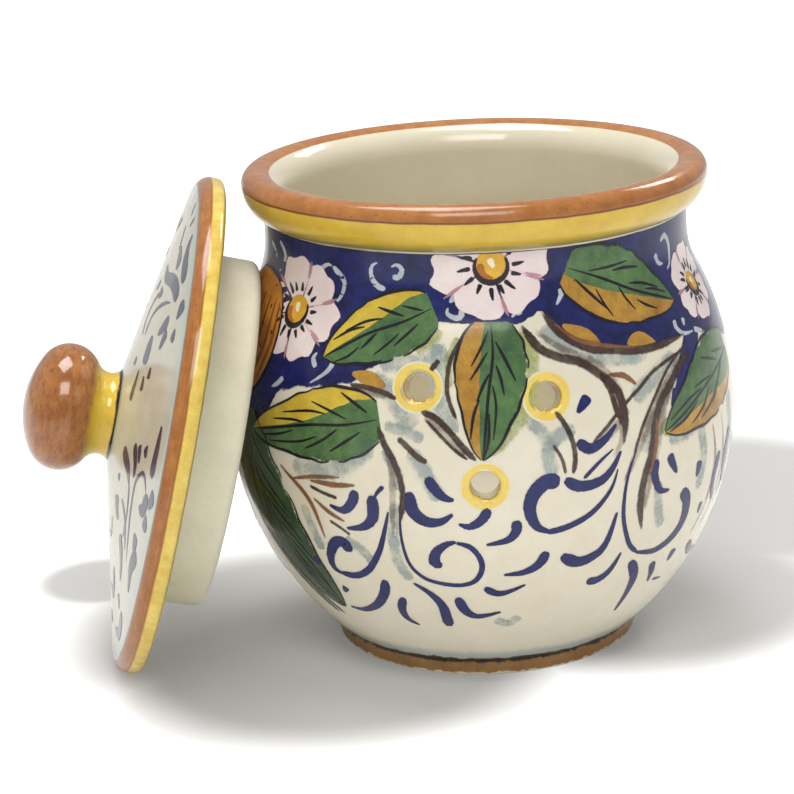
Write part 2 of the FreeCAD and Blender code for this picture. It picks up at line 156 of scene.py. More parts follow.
outside = chain(
    arc(belly_centre, BELLY_CURVE, foot_angle, turn_angle),
    arc(neck_centre, NECK_SWEEP, 180 + turn_angle, 180),
    run((NECK_RADIUS, neck_centre[1]), (NECK_RADIUS, NECK_TOP)),
)
jar_outline = chain(
    run((0, FOOT_RECESS), (ring_radius, FOOT_RECESS), 4.0),
    run((ring_radius, FOOT_RECESS), (ring_radius, FOOT_EDGE)),
    arc((ring_radius + FOOT_EDGE, FOOT_EDGE), FOOT_EDGE, 180, 270, 0.4),
    arc((foot_radius - FOOT_EDGE, FOOT_EDGE), FOOT_EDGE, -90, 0, 0.4),
    run((foot_radius, FOOT_EDGE), (foot_radius, FOOT_HEIGHT)),
    outside,
    arc(swell_centre, RIM_SWELL, swell_angle, 0, 1.0),
    arc(crest_centre, CREST_ROUND, 0, 90, 0.7),
    arc(lip_centre, lip_roll, 90, 180, 1.0),
    run((mouth_radius, lip_centre[1]), (mouth_radius, neck_centre[1])),
    arc(neck_centre, NECK_SWEEP + WALL, 180, 180 + turn_angle),
    arc(belly_centre, inner_curve, turn_angle, floor_angle, 2.2),
    arc(floor_centre, FLOOR_ROUND, floor_angle, -90),
    run((floor_centre[0], FLOOR), (0, FLOOR), 4.0),
)
print("jar outline", len(jar_outline), "points, neck line at", round(NECK_TOP, 2))

# %% [markdown]
# ## Tools for meshes
# Everything round is turned with the spin operator, as on a wheel.  `finish_piece` brings a
# drawing in millimetres to metres, smooths it, and tells the frame what it rides on.

# %% Mesh helpers
MM = 0.001
SHARP = math.radians(38)


def spin_section(bm, section, steps):
    """Spin a half section once round the upright axis."""
    verts = [bm.verts.new((x, 0, z)) for x, z in section]
    edges = [bm.edges.new(pair) for pair in zip(verts, verts[1:])]
    bmesh.ops.spin(bm, geom=verts + edges, cent=(0, 0, 0), axis=(0, 0, 1),
                   angle=2 * math.pi, steps=steps, use_merge=True)


def turned(outline, steps):
    """A closed body of revolution from a half section that starts and ends on the axis."""
    bm = bmesh.new()
    spin_section(bm, outline, steps)
    bmesh.ops.remove_doubles(bm, verts=bm.verts, dist=0.01)
    bmesh.ops.recalc_face_normals(bm, faces=bm.faces)
    return bm


def uv_of(bm):
    """The mesh's own UV map, made when first needed."""
    return bm.loops.layers.uv.get("UVMap") or bm.loops.layers.uv.new("UVMap")


def finish_piece(bm, name, material, body, slot, node=None, shape=None):
    """Shape the drawing by hand, bring it to metres and hand it to the frame."""
    for vert in bm.verts:
        if shape:
            vert.co = shape(vert.co)
        vert.co = vert.co * MM
    mesh = bpy.data.meshes.new(name)
    bm.to_mesh(mesh)
    bm.free()
    mesh.shade_smooth()
    mesh.set_sharp_from_angle(angle=SHARP)
    mesh.materials.append(material)
    piece = bpy.data.objects.new(name, mesh)
    bpy.context.scene.collection.objects.link(piece)
    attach(piece, body)
    if node:
        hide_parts(node)
    print(name, len(mesh.polygons), "faces")


def thrown(point):
    """The slight unevenness of a jar thrown by hand, the same for clay and paint."""
    turn = math.atan2(point.y, point.x)
    share = point.z / JAR_HEIGHT
    swing = 0.22 * share * math.sin(2 * turn + 0.6) + 0.12 * math.sin(3 * turn + 4 * share)
    lift = 0.25 * share * math.sin(turn + 2.0)
    return Vector((point.x * (1 + swing / BELLY_RADIUS), point.y * (1 + swing / BELLY_RADIUS),
                   point.z + lift * share))


# %% [markdown]
# ## Tools for materials
# Nodes are written as short calls.  What several glazes and paints share is a node group: the
# skin of the glaze, the mottling of a colour that pooled as it melted, and the ragged, streaky
# edge of a brush mark.

# %% Node helpers
def rgb(code):
    """A colour as it looks on screen, such as 'C07A48', turned into the linear values nodes use."""
    values = [int(code[k:k + 2], 16) / 255 for k in (0, 2, 4)]
    linear = [v / 12.92 if v <= 0.04045 else ((v + 0.055) / 1.055) ** 2.4 for v in values]
    return (*linear, 1.0)


def put(tree, kind, inputs=(), **settings):
    """A node with its options set, and its inputs linked or given a value."""
    made = tree.nodes.new("ShaderNode" + kind)
    for key, value in settings.items():
        setattr(made, key, value)
    for key, value in dict(inputs).items():
        if isinstance(value, bpy.types.NodeSocket):
            tree.links.new(value, made.inputs[key])
        else:
            made.inputs[key].default_value = value
    return made


def calc(tree, operation, *values):
    return put(tree, "Math", enumerate(values), operation=operation).outputs[0]


def ease(tree, value, low, high, start=0.0, end=1.0):
    """A soft step: start below low, end above high."""
    inputs = {0: value, 1: low, 2: high, 3: start, 4: end}
    return put(tree, "MapRange", inputs, interpolation_type="SMOOTHSTEP").outputs[0]


def mix(tree, factor, first, second):
    return put(tree, "Mix", {0: factor, 6: first, 7: second}, data_type="RGBA").outputs[2]


def cloud(tree, coordinates, scale, detail=3.0, roughness=0.5):
    """Soft noise about 0.5."""
    inputs = {"Vector": coordinates, "Scale": scale, "Detail": detail, "Roughness": roughness}
    return put(tree, "TexNoise", inputs).outputs[0]


def stretch(tree, coordinates, scale):
    return put(tree, "Mapping", {"Vector": coordinates, "Scale": scale}).outputs[0]


SOCKETS = {"vector": "NodeSocketVector", "float": "NodeSocketFloat", "color": "NodeSocketColor"}


def new_group(name, inputs, outputs):
    """An empty node group with named inputs and outputs."""
    tree = bpy.data.node_groups.new(name, "ShaderNodeTree")
    for label, kind in inputs.items():
        tree.interface.new_socket(name=label, in_out="INPUT", socket_type=SOCKETS[kind])
    for label, kind in outputs.items():
        tree.interface.new_socket(name=label, in_out="OUTPUT", socket_type=SOCKETS[kind])
    return tree, tree.nodes.new("NodeGroupInput").outputs, tree.nodes.new("NodeGroupOutput").inputs


def use(tree, group, **inputs):
    """Place a group in a tree; spaces in its socket names are underscores here."""
    named = {key.replace("_", " "): value for key, value in inputs.items()}
    return put(tree, "Group", named, node_tree=group).outputs


# %% The skin of the glaze
def make_glaze_skin():
    """Height of a poured glaze: slow waves, fine peel, and here and there a pinhole."""
    tree, given, wanted = new_group(
        "glaze skin", {"Coordinates": "vector", "Waves": "float"}, {"Height": "float"})
    place = given["Coordinates"]
    slow = calc(tree, "MULTIPLY", cloud(tree, place, 34.0, 1.5), given["Waves"])
    fine = calc(tree, "MULTIPLY", cloud(tree, place, 520.0, 2.0), 0.05)
    cells = put(tree, "TexVoronoi", {"Vector": place, "Scale": 240.0}, feature="F1")
    pit = ease(tree, cells.outputs["Distance"], 0.02, 0.09)
    rare = calc(tree, "GREATER_THAN", put(
        tree, "SeparateColor", {0: cells.outputs["Color"]}).outputs[0], 0.93)
    pits = calc(tree, "MULTIPLY", calc(tree, "SUBTRACT", 1.0, pit), rare)
    height = calc(tree, "SUBTRACT", calc(tree, "ADD", slow, fine),
                  calc(tree, "MULTIPLY", pits, 0.10))
    tree.links.new(height, wanted["Height"])
    return tree


GLAZE_SKIN = make_glaze_skin()


# %% Mottled colour
def make_mottle():
    """A colour that varies as pigment does under glaze: broad pools, small clouds and grain."""
    tree, given, wanted = new_group(
        "mottle",
        {"Coordinates": "vector", "Light": "color", "Dark": "color", "Grain": "float",
         "Contrast": "float"},
        {"Color": "color"})
    place, grain = given["Coordinates"], given["Grain"]
    broad = cloud(tree, place, calc(tree, "MULTIPLY", grain, 0.25), 2.0)
    small = cloud(tree, place, grain, 4.0, 0.65)
    fine = cloud(tree, place, calc(tree, "MULTIPLY", grain, 6.0), 3.0, 0.7)
    total = calc(tree, "ADD", calc(tree, "MULTIPLY", broad, 0.35),
                 calc(tree, "ADD", calc(tree, "MULTIPLY", small, 0.4),
                      calc(tree, "MULTIPLY", fine, 0.25)))
    centred = calc(tree, "MULTIPLY", calc(tree, "SUBTRACT", total, 0.5), given["Contrast"])
    share = put(tree, "Clamp", {0: calc(tree, "ADD", centred, 0.5)}).outputs[0]
    tree.links.new(mix(tree, share, given["Dark"], given["Light"]), wanted["Color"])
    return tree


MOTTLE = make_mottle()


# %% Small specks
def make_specks():
    """A mask of small round specks, on only some of the cells of a Voronoi pattern."""
    tree, given, wanted = new_group(
        "specks", {"Coordinates": "vector", "Scale": "float", "Share": "float"},
        {"Mask": "float"})
    place = given["Coordinates"]
    cells = put(tree, "TexVoronoi", {"Vector": place, "Scale": given["Scale"]}, feature="F1")
    chance = put(tree, "SeparateColor", {0: cells.outputs["Color"]})
    size = calc(tree, "MULTIPLY", chance.outputs[1], 0.3)
    dot = calc(tree, "SUBTRACT", 1.0, ease(tree, calc(
        tree, "SUBTRACT", cells.outputs["Distance"], size), 0.0, 0.08))
    rare = calc(tree, "LESS_THAN", chance.outputs[0], given["Share"])
    tree.links.new(calc(tree, "MULTIPLY", dot, rare), wanted["Mask"])
    return tree


SPECKS = make_specks()


# %% The edge of a brush mark
def make_brush():
    """Cover and load of a brush mark whose UV runs 0 to 1 along it and across it."""
    tree, given, wanted = new_group(
        "brush mark",
        {"Coordinates": "vector", "UV": "vector", "Ragged": "float", "Soft": "float",
         "Dry": "float"},
        {"Cover": "float", "Load": "float"})
    split = put(tree, "SeparateXYZ", {0: given["UV"]})
    along, across = split.outputs[0], split.outputs[1]
    side = calc(tree, "MINIMUM", across, calc(tree, "SUBTRACT", 1.0, across))
    tip = calc(tree, "MULTIPLY", calc(
        tree, "MINIMUM", along, calc(tree, "SUBTRACT", 1.0, along)), 6.0)
    inside = calc(tree, "MINIMUM", calc(tree, "MULTIPLY", side, 2.0), tip)
    rough = calc(tree, "SUBTRACT", cloud(tree, given["Coordinates"], 900.0, 3.0, 0.6), 0.45)
    edge = calc(tree, "ADD", inside, calc(tree, "MULTIPLY", rough, given["Ragged"]))
    cover = ease(tree, edge, 0.0, given["Soft"])
    hairs = cloud(tree, stretch(tree, given["UV"], (3.0, 26.0, 1.0)), 1.0, 2.0, 0.6)
    streaks = calc(tree, "SUBTRACT", hairs, calc(tree, "MULTIPLY", cloud(
        tree, given["Coordinates"], 1500.0, 2.0), 0.35))
    dryness = calc(tree, "MULTIPLY", given["Dry"], ease(tree, along, 0.35, 1.0))
    gaps = ease(tree, calc(tree, "SUBTRACT", streaks, dryness), -0.06, 0.06)
    tree.links.new(calc(tree, "MULTIPLY", cover, gaps), wanted["Cover"])
    pooled = calc(tree, "ADD", calc(tree, "MULTIPLY", hairs, 0.6),
                  calc(tree, "MULTIPLY", ease(tree, inside, 0.0, 0.5, 0.35, 0.0), 1.0))
    tree.links.new(pooled, wanted["Load"])
    return tree


BRUSH = make_brush()
print("node groups", [g.name for g in bpy.data.node_groups])

# %% [markdown]
# ## Glazes
# The jar wears a cream tin glaze with a painted foot and a sponged rim.  Where a colour simply
# follows the height it belongs in the glaze itself, as steps in height with a little waver, since
# the painter holds a loaded brush still and turns the wheel.  A marked attribute tells the inside
# from the outside.

# %% A glaze material
SKIN_WAVES = 0.5
SKIN_DEPTH = 0.00035
COAT_ROUGHNESS = 0.04
GLAZE_IOR = 1.52


def under_glaze(tree, place, channels, coat, ior):
    """Link the channels to the surface and give it the glaze's skin, coat and gloss."""
    surface = tree.nodes["Principled BSDF"]
    height = use(tree, GLAZE_SKIN, Coordinates=place, Waves=SKIN_WAVES)["Height"]
    normal = put(tree, "Bump", {"Strength": 1.0, "Distance": SKIN_DEPTH, "Height": height})
    for key, value in dict(channels, Normal=normal.outputs[0]).items():
        tree.links.new(value, surface.inputs[key])
    surface.inputs["Coat Weight"].default_value = coat
    surface.inputs["Coat Roughness"].default_value = COAT_ROUGHNESS
    surface.inputs["IOR"].default_value = ior


def glaze(name, paint_on, coat=0.2):
    """A glossy glaze; paint_on(tree, place) gives its colour and roughness."""
    material = bpy.data.materials.new(name)
    material.use_nodes = True
    tree = material.node_tree
    place = put(tree, "TexCoord").outputs["Object"]
    colour, rough = paint_on(tree, place)
    under_glaze(tree, place, {"Base Color": colour, "Roughness": rough}, coat, GLAZE_IOR)
    return material


def gloss_of(tree, place, low=0.10, high=0.24):
    """Roughness that drifts slowly, as a glaze's does."""
    return ease(tree, cloud(tree, place, 60.0), 0.3, 0.7, low, high)


# %% Colours by height
CREAM_LIGHT, CREAM_DARK = rgb("EFE9D6"), rgb("DDD3B8")
INSIDE_LIGHT, INSIDE_DARK = rgb("E7DEC6"), rgb("D6CDB2")
ORANGE_LIGHT, ORANGE_DARK = rgb("C08244"), rgb("965626")
YELLOW_LIGHT, YELLOW_DARK = rgb("EBCB4A"), rgb("CFA530")
INK = rgb("1C1A20")
RUST = rgb("7A3E1E")
SIENNA = rgb("9C5A26")
OLIVE = rgb("9A8B38")
OCHRE_LIGHT, OCHRE_DARK = rgb("B48444"), rgb("7E5628")
WASH = rgb("B9C2BC")
RIM_PAINT_INSIDE = 58.1


def wavering(tree, place, value, amount, scale=110.0):
    """A height with the waver of a brush held against the turning pot."""
    off = calc(tree, "SUBTRACT", cloud(tree, place, scale, 2.0), 0.5)
    return calc(tree, "ADD", value, calc(tree, "MULTIPLY", off, amount))


def layered(tree, height, ground, layers):
    """Paint (start, softness, colour) layers one over the other as the height rises."""
    colour = ground
    for start, soft, paint in layers:
        share = ease(tree, height, start - soft / 2, start + soft / 2)
        colour = mix(tree, share, colour, paint)
    return colour


def mottled(tree, place, light, dark, grain=260.0, contrast=2.2):
    return use(tree, MOTTLE, Coordinates=place, Light=light, Dark=dark, Grain=grain,
               Contrast=contrast)["Color"]


def orange_of(tree, place):
    """Sponged orange with darker specks."""
    base = mottled(tree, place, ORANGE_LIGHT, ORANGE_DARK, 330.0, 2.6)
    specks = use(tree, SPECKS, Coordinates=place, Scale=900.0, Share=0.35)["Mask"]
    return mix(tree, calc(tree, "MULTIPLY", specks, 0.45), base, RUST)


def yellow_of(tree, place):
    return mottled(tree, place, YELLOW_LIGHT, YELLOW_DARK, 210.0, 2.4)


def jar_paint(tree, place):
    """Foot, cream ground, yellow and orange rim, and the plain inside."""
    axes = put(tree, "SeparateXYZ", {0: place})
    height = wavering(tree, place, calc(tree, "MULTIPLY", axes.outputs[2], 1000.0), 0.5)
    rough_line = wavering(tree, place, height, 2.2, 420.0)
    ground = mottled(tree, place, CREAM_LIGHT, CREAM_DARK, 120.0, 1.6)
    inside = mottled(tree, place, INSIDE_LIGHT, INSIDE_DARK, 70.0, 1.6)
    ochre = mottled(tree, place, OCHRE_LIGHT, OCHRE_DARK, 260.0, 2.2)
    foot = layered(tree, rough_line, ground, [
        (0.7, 0.6, ochre), (FOOT_HEIGHT - 0.4, 0.7, INK), (FOOT_HEIGHT + 1.6, 0.9, WASH),
        (FOOT_HEIGHT + 4.8, 3.0, ground)])
    outer = layered(tree, height, foot, [
        (NECK_TOP - 0.9, 0.3, INK), (NECK_TOP - 0.1, 0.3, ground), (NECK_TOP + 0.5, 0.4, OLIVE),
        (NECK_TOP + 2.3, 3.0, yellow_of(tree, place)), (RIM_HEIGHT - 0.5, 0.4, RUST),
        (RIM_HEIGHT + 0.1, 0.5, orange_of(tree, place))])
    within = put(tree, "Attribute", attribute_name="inside").outputs["Fac"]
    colour = mix(tree, ease(tree, within, 0.3, 0.7), outer, inside)
    return colour, gloss_of(tree, place)


JAR_GLAZE = glaze("jar glaze", jar_paint)

# %% [markdown]
# ## The jar
# The jar is the half section spun once round.  Its vents were pierced with a tube while the clay
# was soft, so their edges are rounded by the glaze.  Faces round each vent are taken out of both
# walls and the two openings bridged; a collar with a rounded lip then lines each hole.  The
# collar stands square to the skin and the hole is level, which the lip's width covers.


# %% A chart of the jar's outside
def skin_of(z):
    """Radius of the outside at height z, with the outward slope (across, up)."""
    z = min(max(z, FOOT_HEIGHT), NECK_TOP)
    turn_height = BELLY_HEIGHT + BELLY_CURVE * math.sin(math.radians(turn_angle))
    if z < turn_height:
        up = (z - BELLY_HEIGHT) / BELLY_CURVE
        across = math.sqrt(1 - up * up)
        return belly_centre[0] + BELLY_CURVE * across, across, up
    if z < neck_centre[1]:
        up = (neck_centre[1] - z) / NECK_SWEEP
        across = math.sqrt(1 - up * up)
        return neck_centre[0] - NECK_SWEEP * across, across, up
    return NECK_RADIUS, 1.0, 0.0


def on_jar(turn, z, lift=0.0):
    """A point of the outside: degrees round from the front, height, and lift off the glaze."""
    radius, across, up = skin_of(z)
    angle = math.radians(turn)
    reach = radius + lift * across
    return Vector((reach * math.sin(angle), -reach * math.cos(angle), z + lift * up))


def near(turn, z, right, above):
    """The chart's turn and height of a spot some millimetres to the right and above."""
    radius, across, up = skin_of(z + 0.5 * above)
    return turn + math.degrees(right / radius), z + above * across


# %% The jar's body
TURN_STEPS = 240
VENT_CLEAR = 5.4


def vent_spots():
    return [(turn + side, z) for side in TURNS for turn, z in VENTS]


def is_inside(point):
    """True inside the jar, from the inner edge of the rim's paint."""
    radius = math.hypot(point.x, point.y)
    if point.z > NECK_TOP:
        return radius < RIM_PAINT_INSIDE
    return point.z > FLOOR - 1 and radius < skin_of(point.z)[0] - WALL / 2


def mark_inside(bm):
    layer = bm.verts.layers.float.new("inside")
    for vert in bm.verts:
        vert[layer] = float(is_inside(vert.co))


def open_vent(bm, turn, z):
    """Take the faces round one vent out of both walls and bridge the two openings."""
    angle = math.radians(turn)
    outward = Vector((math.sin(angle), -math.cos(angle), 0))
    centre = Vector((0, 0, z))

    def off_axis(point):
        from_centre = point - centre
        along = from_centre.dot(outward)
        return (from_centre - outward * along).length if along > 0 else 1000.0

    doomed = [f for f in bm.faces if off_axis(f.calc_center_median()) < VENT_CLEAR]
    bmesh.ops.delete(bm, geom=doomed, context="FACES")
    edges = [e for e in bm.edges if e.is_boundary]
    bmesh.ops.bridge_loops(bm, edges=edges)
    return len(doomed)


jar = turned(jar_outline, TURN_STEPS)
mark_inside(jar)
taken = [open_vent(jar, *spot) for spot in vent_spots()]
bmesh.ops.triangulate(jar, faces=[f for f in jar.faces if len(f.verts) > 4])
print("faces taken for each vent", taken, "open edges", sum(e.is_boundary for e in jar.edges))
finish_piece(jar, "jar_body", JAR_GLAZE, "jar", "jar_glaze", "jar", thrown)


# %% Vent collars
def collar_paint(tree, place):
    """A yellow ring on the cream glaze, a darker ochre where it turns into the hole."""
    along = put(tree, "SeparateXYZ", {0: put(tree, "UVMap", uv_map="UVMap").outputs[0]})
    share = wavering(tree, place, along.outputs[0], 0.06, 300.0)
    ground = mottled(tree, place, CREAM_LIGHT, CREAM_DARK, 120.0, 1.6)
    yellow = mottled(tree, place, rgb("F6DF78"), rgb("E6BF4A"), 260.0, 2.4)
    ring = mix(tree, ease(tree, share, 0.03, 0.06), ground, yellow)
    dark = mix(tree, ease(tree, share, 0.25, 0.29), ring, rgb("C79C38"))
    inside = mottled(tree, place, INSIDE_LIGHT, INSIDE_DARK, 70.0, 1.6)
    return mix(tree, ease(tree, share, 0.31, 0.38), dark, inside), gloss_of(tree, place)


COLLAR_GLAZE = glaze("vent glaze", collar_paint)
COLLAR_REACH = 7.0
COLLAR_STEPS = 56
LIP = 1.1
PROUD = 0.04


def collar_section():
    """(distance from the vent's axis, depth under the skin) from outside to inside."""
    outer = run((COLLAR_REACH, -PROUD), (VENT_RADIUS + LIP, -PROUD), 0.6)
    lip = [(VENT_RADIUS + LIP - LIP * math.sin(a), LIP - PROUD - LIP * math.cos(a))
           for a in (math.radians(15 * k) for k in range(1, 7))]
    tunnel = run(lip[-1], (VENT_RADIUS, WALL - LIP), 0.7)
    back = [(r, WALL - d) for r, d in reversed(lip)]
    inner = run((VENT_RADIUS + LIP, WALL + PROUD), (COLLAR_REACH, WALL + PROUD), 0.6)
    return chain(outer, lip, tunnel, back, inner)


def add_collar(bm, turn, z, seed):
    """One rounded lip, spun flat and then laid on the jar's skin."""
    uv = uv_of(bm)
    spin_section(bm, [(r, -d) for r, d in collar_section()], COLLAR_STEPS)
    fresh = [v for v in bm.verts if not v.tag]
    bmesh.ops.remove_doubles(bm, verts=fresh, dist=0.005)
    fresh = [v for v in bm.verts if not v.tag]
    total = COLLAR_REACH - VENT_RADIUS + WALL
    for vert in fresh:
        x, y, depth = vert.co.x, vert.co.y, -vert.co.z
        reach = math.hypot(x, y)
        share = (COLLAR_REACH - reach + max(depth, 0.0)) / (total + COLLAR_REACH - VENT_RADIUS)
        if depth > WALL / 2:
            share = (total + reach - VENT_RADIUS) / (total + COLLAR_REACH - VENT_RADIUS)
        ragged = abs(noise.noise(Vector((x * 0.9, y * 0.9, seed))))
        closing = max(0.0, 1 - (reach - VENT_RADIUS) / LIP) * max(0.0, 1 - abs(depth - 1.2) / 2.5)
        drip = closing * (0.06 + ragged * 1.7 * max(0.0, -y / reach - 0.1))
        x, y = x * (1 - drip / reach), y * (1 - drip / reach)
        spot = near(turn, z, x, y)
        vert.co = on_jar(*spot, -depth)
        for loop in vert.link_loops:
            loop[uv].uv = (share, 0.5)
        vert.tag = True


collars = bmesh.new()
for number, spot in enumerate(vent_spots()):
    add_collar(collars, *spot, number * 7.3)
bmesh.ops.recalc_face_normals(collars, faces=collars.faces)
finish_piece(collars, "vent_collars", COLLAR_GLAZE, "jar", "jar_glaze", None, thrown)

# %% [markdown]
# ## The lid and its knob
# The lid was thrown upside down: a shallow cone, a rounded edge, and a flange that drops into the
# jar's mouth.  The knob was turned apart and luted on with slip, and the painter hides that joint
# under a dark line.  Both are spun in the lid's own frame and then leaned against the jar, so
# their paint is also worked out in the lid's frame, through a Mapping node.

# %% The lid's half section
edge_centre = (LID_RADIUS - EDGE_UPPER, EDGE_HEIGHT)
edge_reach = math.hypot(edge_centre[0] - KNOB_FOOT, SEAT_HEIGHT - EDGE_HEIGHT)
SLOPE = math.atan2(SEAT_HEIGHT - EDGE_HEIGHT, edge_centre[0] - KNOB_FOOT) - math.asin(
    EDGE_UPPER / edge_reach)
cone_end = (edge_centre[0] + EDGE_UPPER * math.sin(SLOPE),
            edge_centre[1] + EDGE_UPPER * math.cos(SLOPE))
flange_inside = FLANGE_RADIUS - FLANGE_WALL
ceiling = SEAT_HEIGHT - LID_THICKNESS
INNER_ROUND = 1.2
SMALL_ROUND = 0.8

lid_outline = chain(
    run((0, SEAT_HEIGHT), (KNOB_FOOT, SEAT_HEIGHT), 3.0),
    run((KNOB_FOOT, SEAT_HEIGHT), cone_end),
    arc(edge_centre, EDGE_UPPER, 90 - math.degrees(SLOPE), 0, 0.5),
    arc((LID_RADIUS - EDGE_LOWER, EDGE_LOWER), EDGE_LOWER, 0, -90, 0.4),
    run((LID_RADIUS - EDGE_LOWER, 0), (FLANGE_RADIUS + SMALL_ROUND, 0)),
    arc((FLANGE_RADIUS + SMALL_ROUND, -SMALL_ROUND), SMALL_ROUND, 90, 180, 0.3),
    run((FLANGE_RADIUS, -SMALL_ROUND), (FLANGE_RADIUS, FLANGE_ROUND - FLANGE_DEPTH)),
    arc((FLANGE_RADIUS - FLANGE_ROUND, FLANGE_ROUND - FLANGE_DEPTH), FLANGE_ROUND, 0, -90, 0.5),
    arc((flange_inside + INNER_ROUND, INNER_ROUND - FLANGE_DEPTH), INNER_ROUND, 270, 180, 0.4),
    run((flange_inside, INNER_ROUND - FLANGE_DEPTH),
        (flange_inside, ceiling - flange_inside * math.tan(SLOPE))),
    run((flange_inside, ceiling - flange_inside * math.tan(SLOPE)), (0, ceiling), 3.0),
)

# %% The knob's half section
WAIST_ROUND = 3.97
side_centre = (KNOB_RADIUS - KNOB_ROUND, SEAT_HEIGHT + KNOB_MIDDLE)
knob_top = SEAT_HEIGHT + KNOB_HEIGHT
crown_rise = knob_top - side_centre[1]
crown_round = (side_centre[0] ** 2 + crown_rise ** 2 - KNOB_ROUND ** 2) / (
    2 * (crown_rise - KNOB_ROUND))
crown_centre = (0, knob_top - crown_round)
crown_lean = math.degrees(math.atan2(side_centre[1] - crown_centre[1], side_centre[0]))
waist_drop = math.sqrt(WAIST_ROUND ** 2 - (KNOB_WAIST + WAIST_ROUND - KNOB_FOOT) ** 2)
waist_centre = (KNOB_WAIST + WAIST_ROUND, SEAT_HEIGHT + waist_drop)
to_side = math.degrees(math.atan2(side_centre[1] - waist_centre[1],
                                  side_centre[0] - waist_centre[0]))
from_foot = 360 + math.degrees(math.atan2(-waist_drop, KNOB_FOOT - waist_centre[0]))

knob_outline = chain(
    run((0, SEAT_HEIGHT), (KNOB_FOOT, SEAT_HEIGHT), 3.0),
    arc(waist_centre, WAIST_ROUND, from_foot, to_side, 0.5),
    arc(side_centre, KNOB_ROUND, to_side - 180, crown_lean, 0.7),
    arc(crown_centre, crown_round, crown_lean, 90, 1.0),
)
print("lid outline", len(lid_outline), "knob outline", len(knob_outline))

# %% The lid's frame
lean_side, lean_rise = math.radians(LEAN_AZIMUTH), math.radians(LEAN_TILT)
lid_turn = Euler((0, math.radians(90 - LEAN_TILT), lean_side))
lid_stand = ((LID_RADIUS - EDGE_LOWER) * math.cos(lean_rise)
             - EDGE_LOWER * math.sin(lean_rise) + EDGE_LOWER)
lid_place = Vector((LEAN_REACH * math.cos(lean_side) - LEAN_SHIFT * math.sin(lean_side),
                    LEAN_REACH * math.sin(lean_side) + LEAN_SHIFT * math.cos(lean_side),
                    lid_stand))
LID_FRAME = Matrix.Translation(lid_place) @ lid_turn.to_matrix().to_4x4()


def leaned(point):
    """From the lid's own frame to its place against the jar, with a trace of hand in it."""
    turn = math.atan2(point.y, point.x)
    swing = 1 + 0.0015 * math.sin(2 * turn - 0.6)
    return LID_FRAME @ Vector((point.x * swing, point.y * swing, point.z))


def in_lid_frame(tree, place):
    """Object coordinates taken back to the lid's own frame: (vector, radius mm, height mm)."""
    inputs = {"Vector": place, "Location": lid_place * MM, "Rotation": lid_turn}
    local = put(tree, "Mapping", inputs, vector_type="TEXTURE").outputs[0]
    axes = put(tree, "SeparateXYZ", {0: local})
    squares = [calc(tree, "MULTIPLY", axes.outputs[k], axes.outputs[k]) for k in (0, 1)]
    radius = calc(tree, "SQRT", calc(tree, "ADD", *squares))
    return (local, calc(tree, "MULTIPLY", radius, 1000.0),
            calc(tree, "MULTIPLY", axes.outputs[2], 1000.0))


# %% The lid's glaze
LID_BAND = 69.3
LID_BAND_SPLIT = 4.3
LID_WASH = rgb("B4BFB2")


def lid_paint(tree, place):
    """Cream cone and flange, with painted shade making the cone darker and greyer, most of all round the
    knob's foot; a grey wash near the edge, then an orange and a yellow band.
    """
    local, radius, height = in_lid_frame(tree, place)
    radius = wavering(tree, place, radius, 0.5)
    height = wavering(tree, place, height, 0.5)
    # Painted shade: the cone's ground is a darker, greyer cream than the flange's.
    ground = mottled(tree, place, rgb("D6D1BE"), rgb("BDB69E"), 120.0, 2.0)
    plain = mottled(tree, place, rgb("EAE5CF"), rgb("CFC9AD"), 90.0, 2.2)
    # Painted shade round the knob's foot, in the wash's grey-green.
    shaded_near_knob = mix(tree, ease(tree, radius, KNOB_FOOT + 1, KNOB_FOOT + 7, 0.8, 0.0), ground, LID_WASH)
    washed = mix(tree, ease(tree, radius, 58.0, 68.0, 0.0, 0.85), shaded_near_knob, LID_WASH)
    line = mix(tree, ease(tree, radius, LID_BAND - 1.2, LID_BAND - 0.5, 0.0, 0.7), washed, RUST)
    streaks = cloud(tree, stretch(tree, local, (1.0, 1.0, 9.0)), 120.0, 4.0, 0.7)
    brown = mix(tree, ease(tree, streaks, 0.40, 0.66, 0.0, 0.7), orange_of(tree, place), SIENNA)
    orange = mix(tree, ease(tree, radius, LID_BAND - 0.4, LID_BAND), line, brown)
    yellow = mottled(tree, place, rgb("F2DA72"), rgb("CFA63A"), 330.0, 3.0)
    edge = layered(tree, height, OLIVE, [
        (0.7, 0.4, yellow), (LID_BAND_SPLIT - 0.3, 0.6, SIENNA),
        (LID_BAND_SPLIT + 0.2, 0.6, orange)])
    under = ease(tree, height, 0.05, 0.35)
    dull = calc(tree, "SUBTRACT", 1.0, under)
    rough = calc(tree, "ADD", gloss_of(tree, place), calc(tree, "MULTIPLY", dull, 0.38))
    return mix(tree, under, plain, edge), rough


LID_GLAZE = glaze("lid glaze", lid_paint, 0.1)


# %% The knob's glaze
KNOB_PAINT = SEAT_HEIGHT + 7.2
LUTE_LINE = SEAT_HEIGHT + 0.7


def knob_paint(tree, place):
    """A dark line at the joint, a yellow waist and an orange ball sponged in streaks."""
    local, radius, height = in_lid_frame(tree, place)
    height = wavering(tree, place, height, 0.9, 220.0)
    streaks = cloud(tree, stretch(tree, local, (1.0, 1.0, 3.0)), 260.0, 4.0, 0.7)
    orange = mix(tree, ease(tree, streaks, 0.42, 0.68, 0.0, 0.6), orange_of(tree, place), RUST)
    colour = layered(tree, height, INK, [
        (LUTE_LINE, 0.5, yellow_of(tree, place)), (KNOB_PAINT, 2.2, orange)])
    return colour, gloss_of(tree, place, 0.06, 0.16)


KNOB_GLAZE = glaze("knob glaze", knob_paint, 0.35)

# %% Lid and knob
LID_STEPS = 192
KNOB_STEPS = 96
finish_piece(turned(lid_outline, LID_STEPS), "lid_body", LID_GLAZE, "lid", "lid_glaze", "lid", leaned)
finish_piece(turned(knob_outline, KNOB_STEPS), "knob", KNOB_GLAZE, "lid", "knob_glaze",
             "lid_knob", leaned)

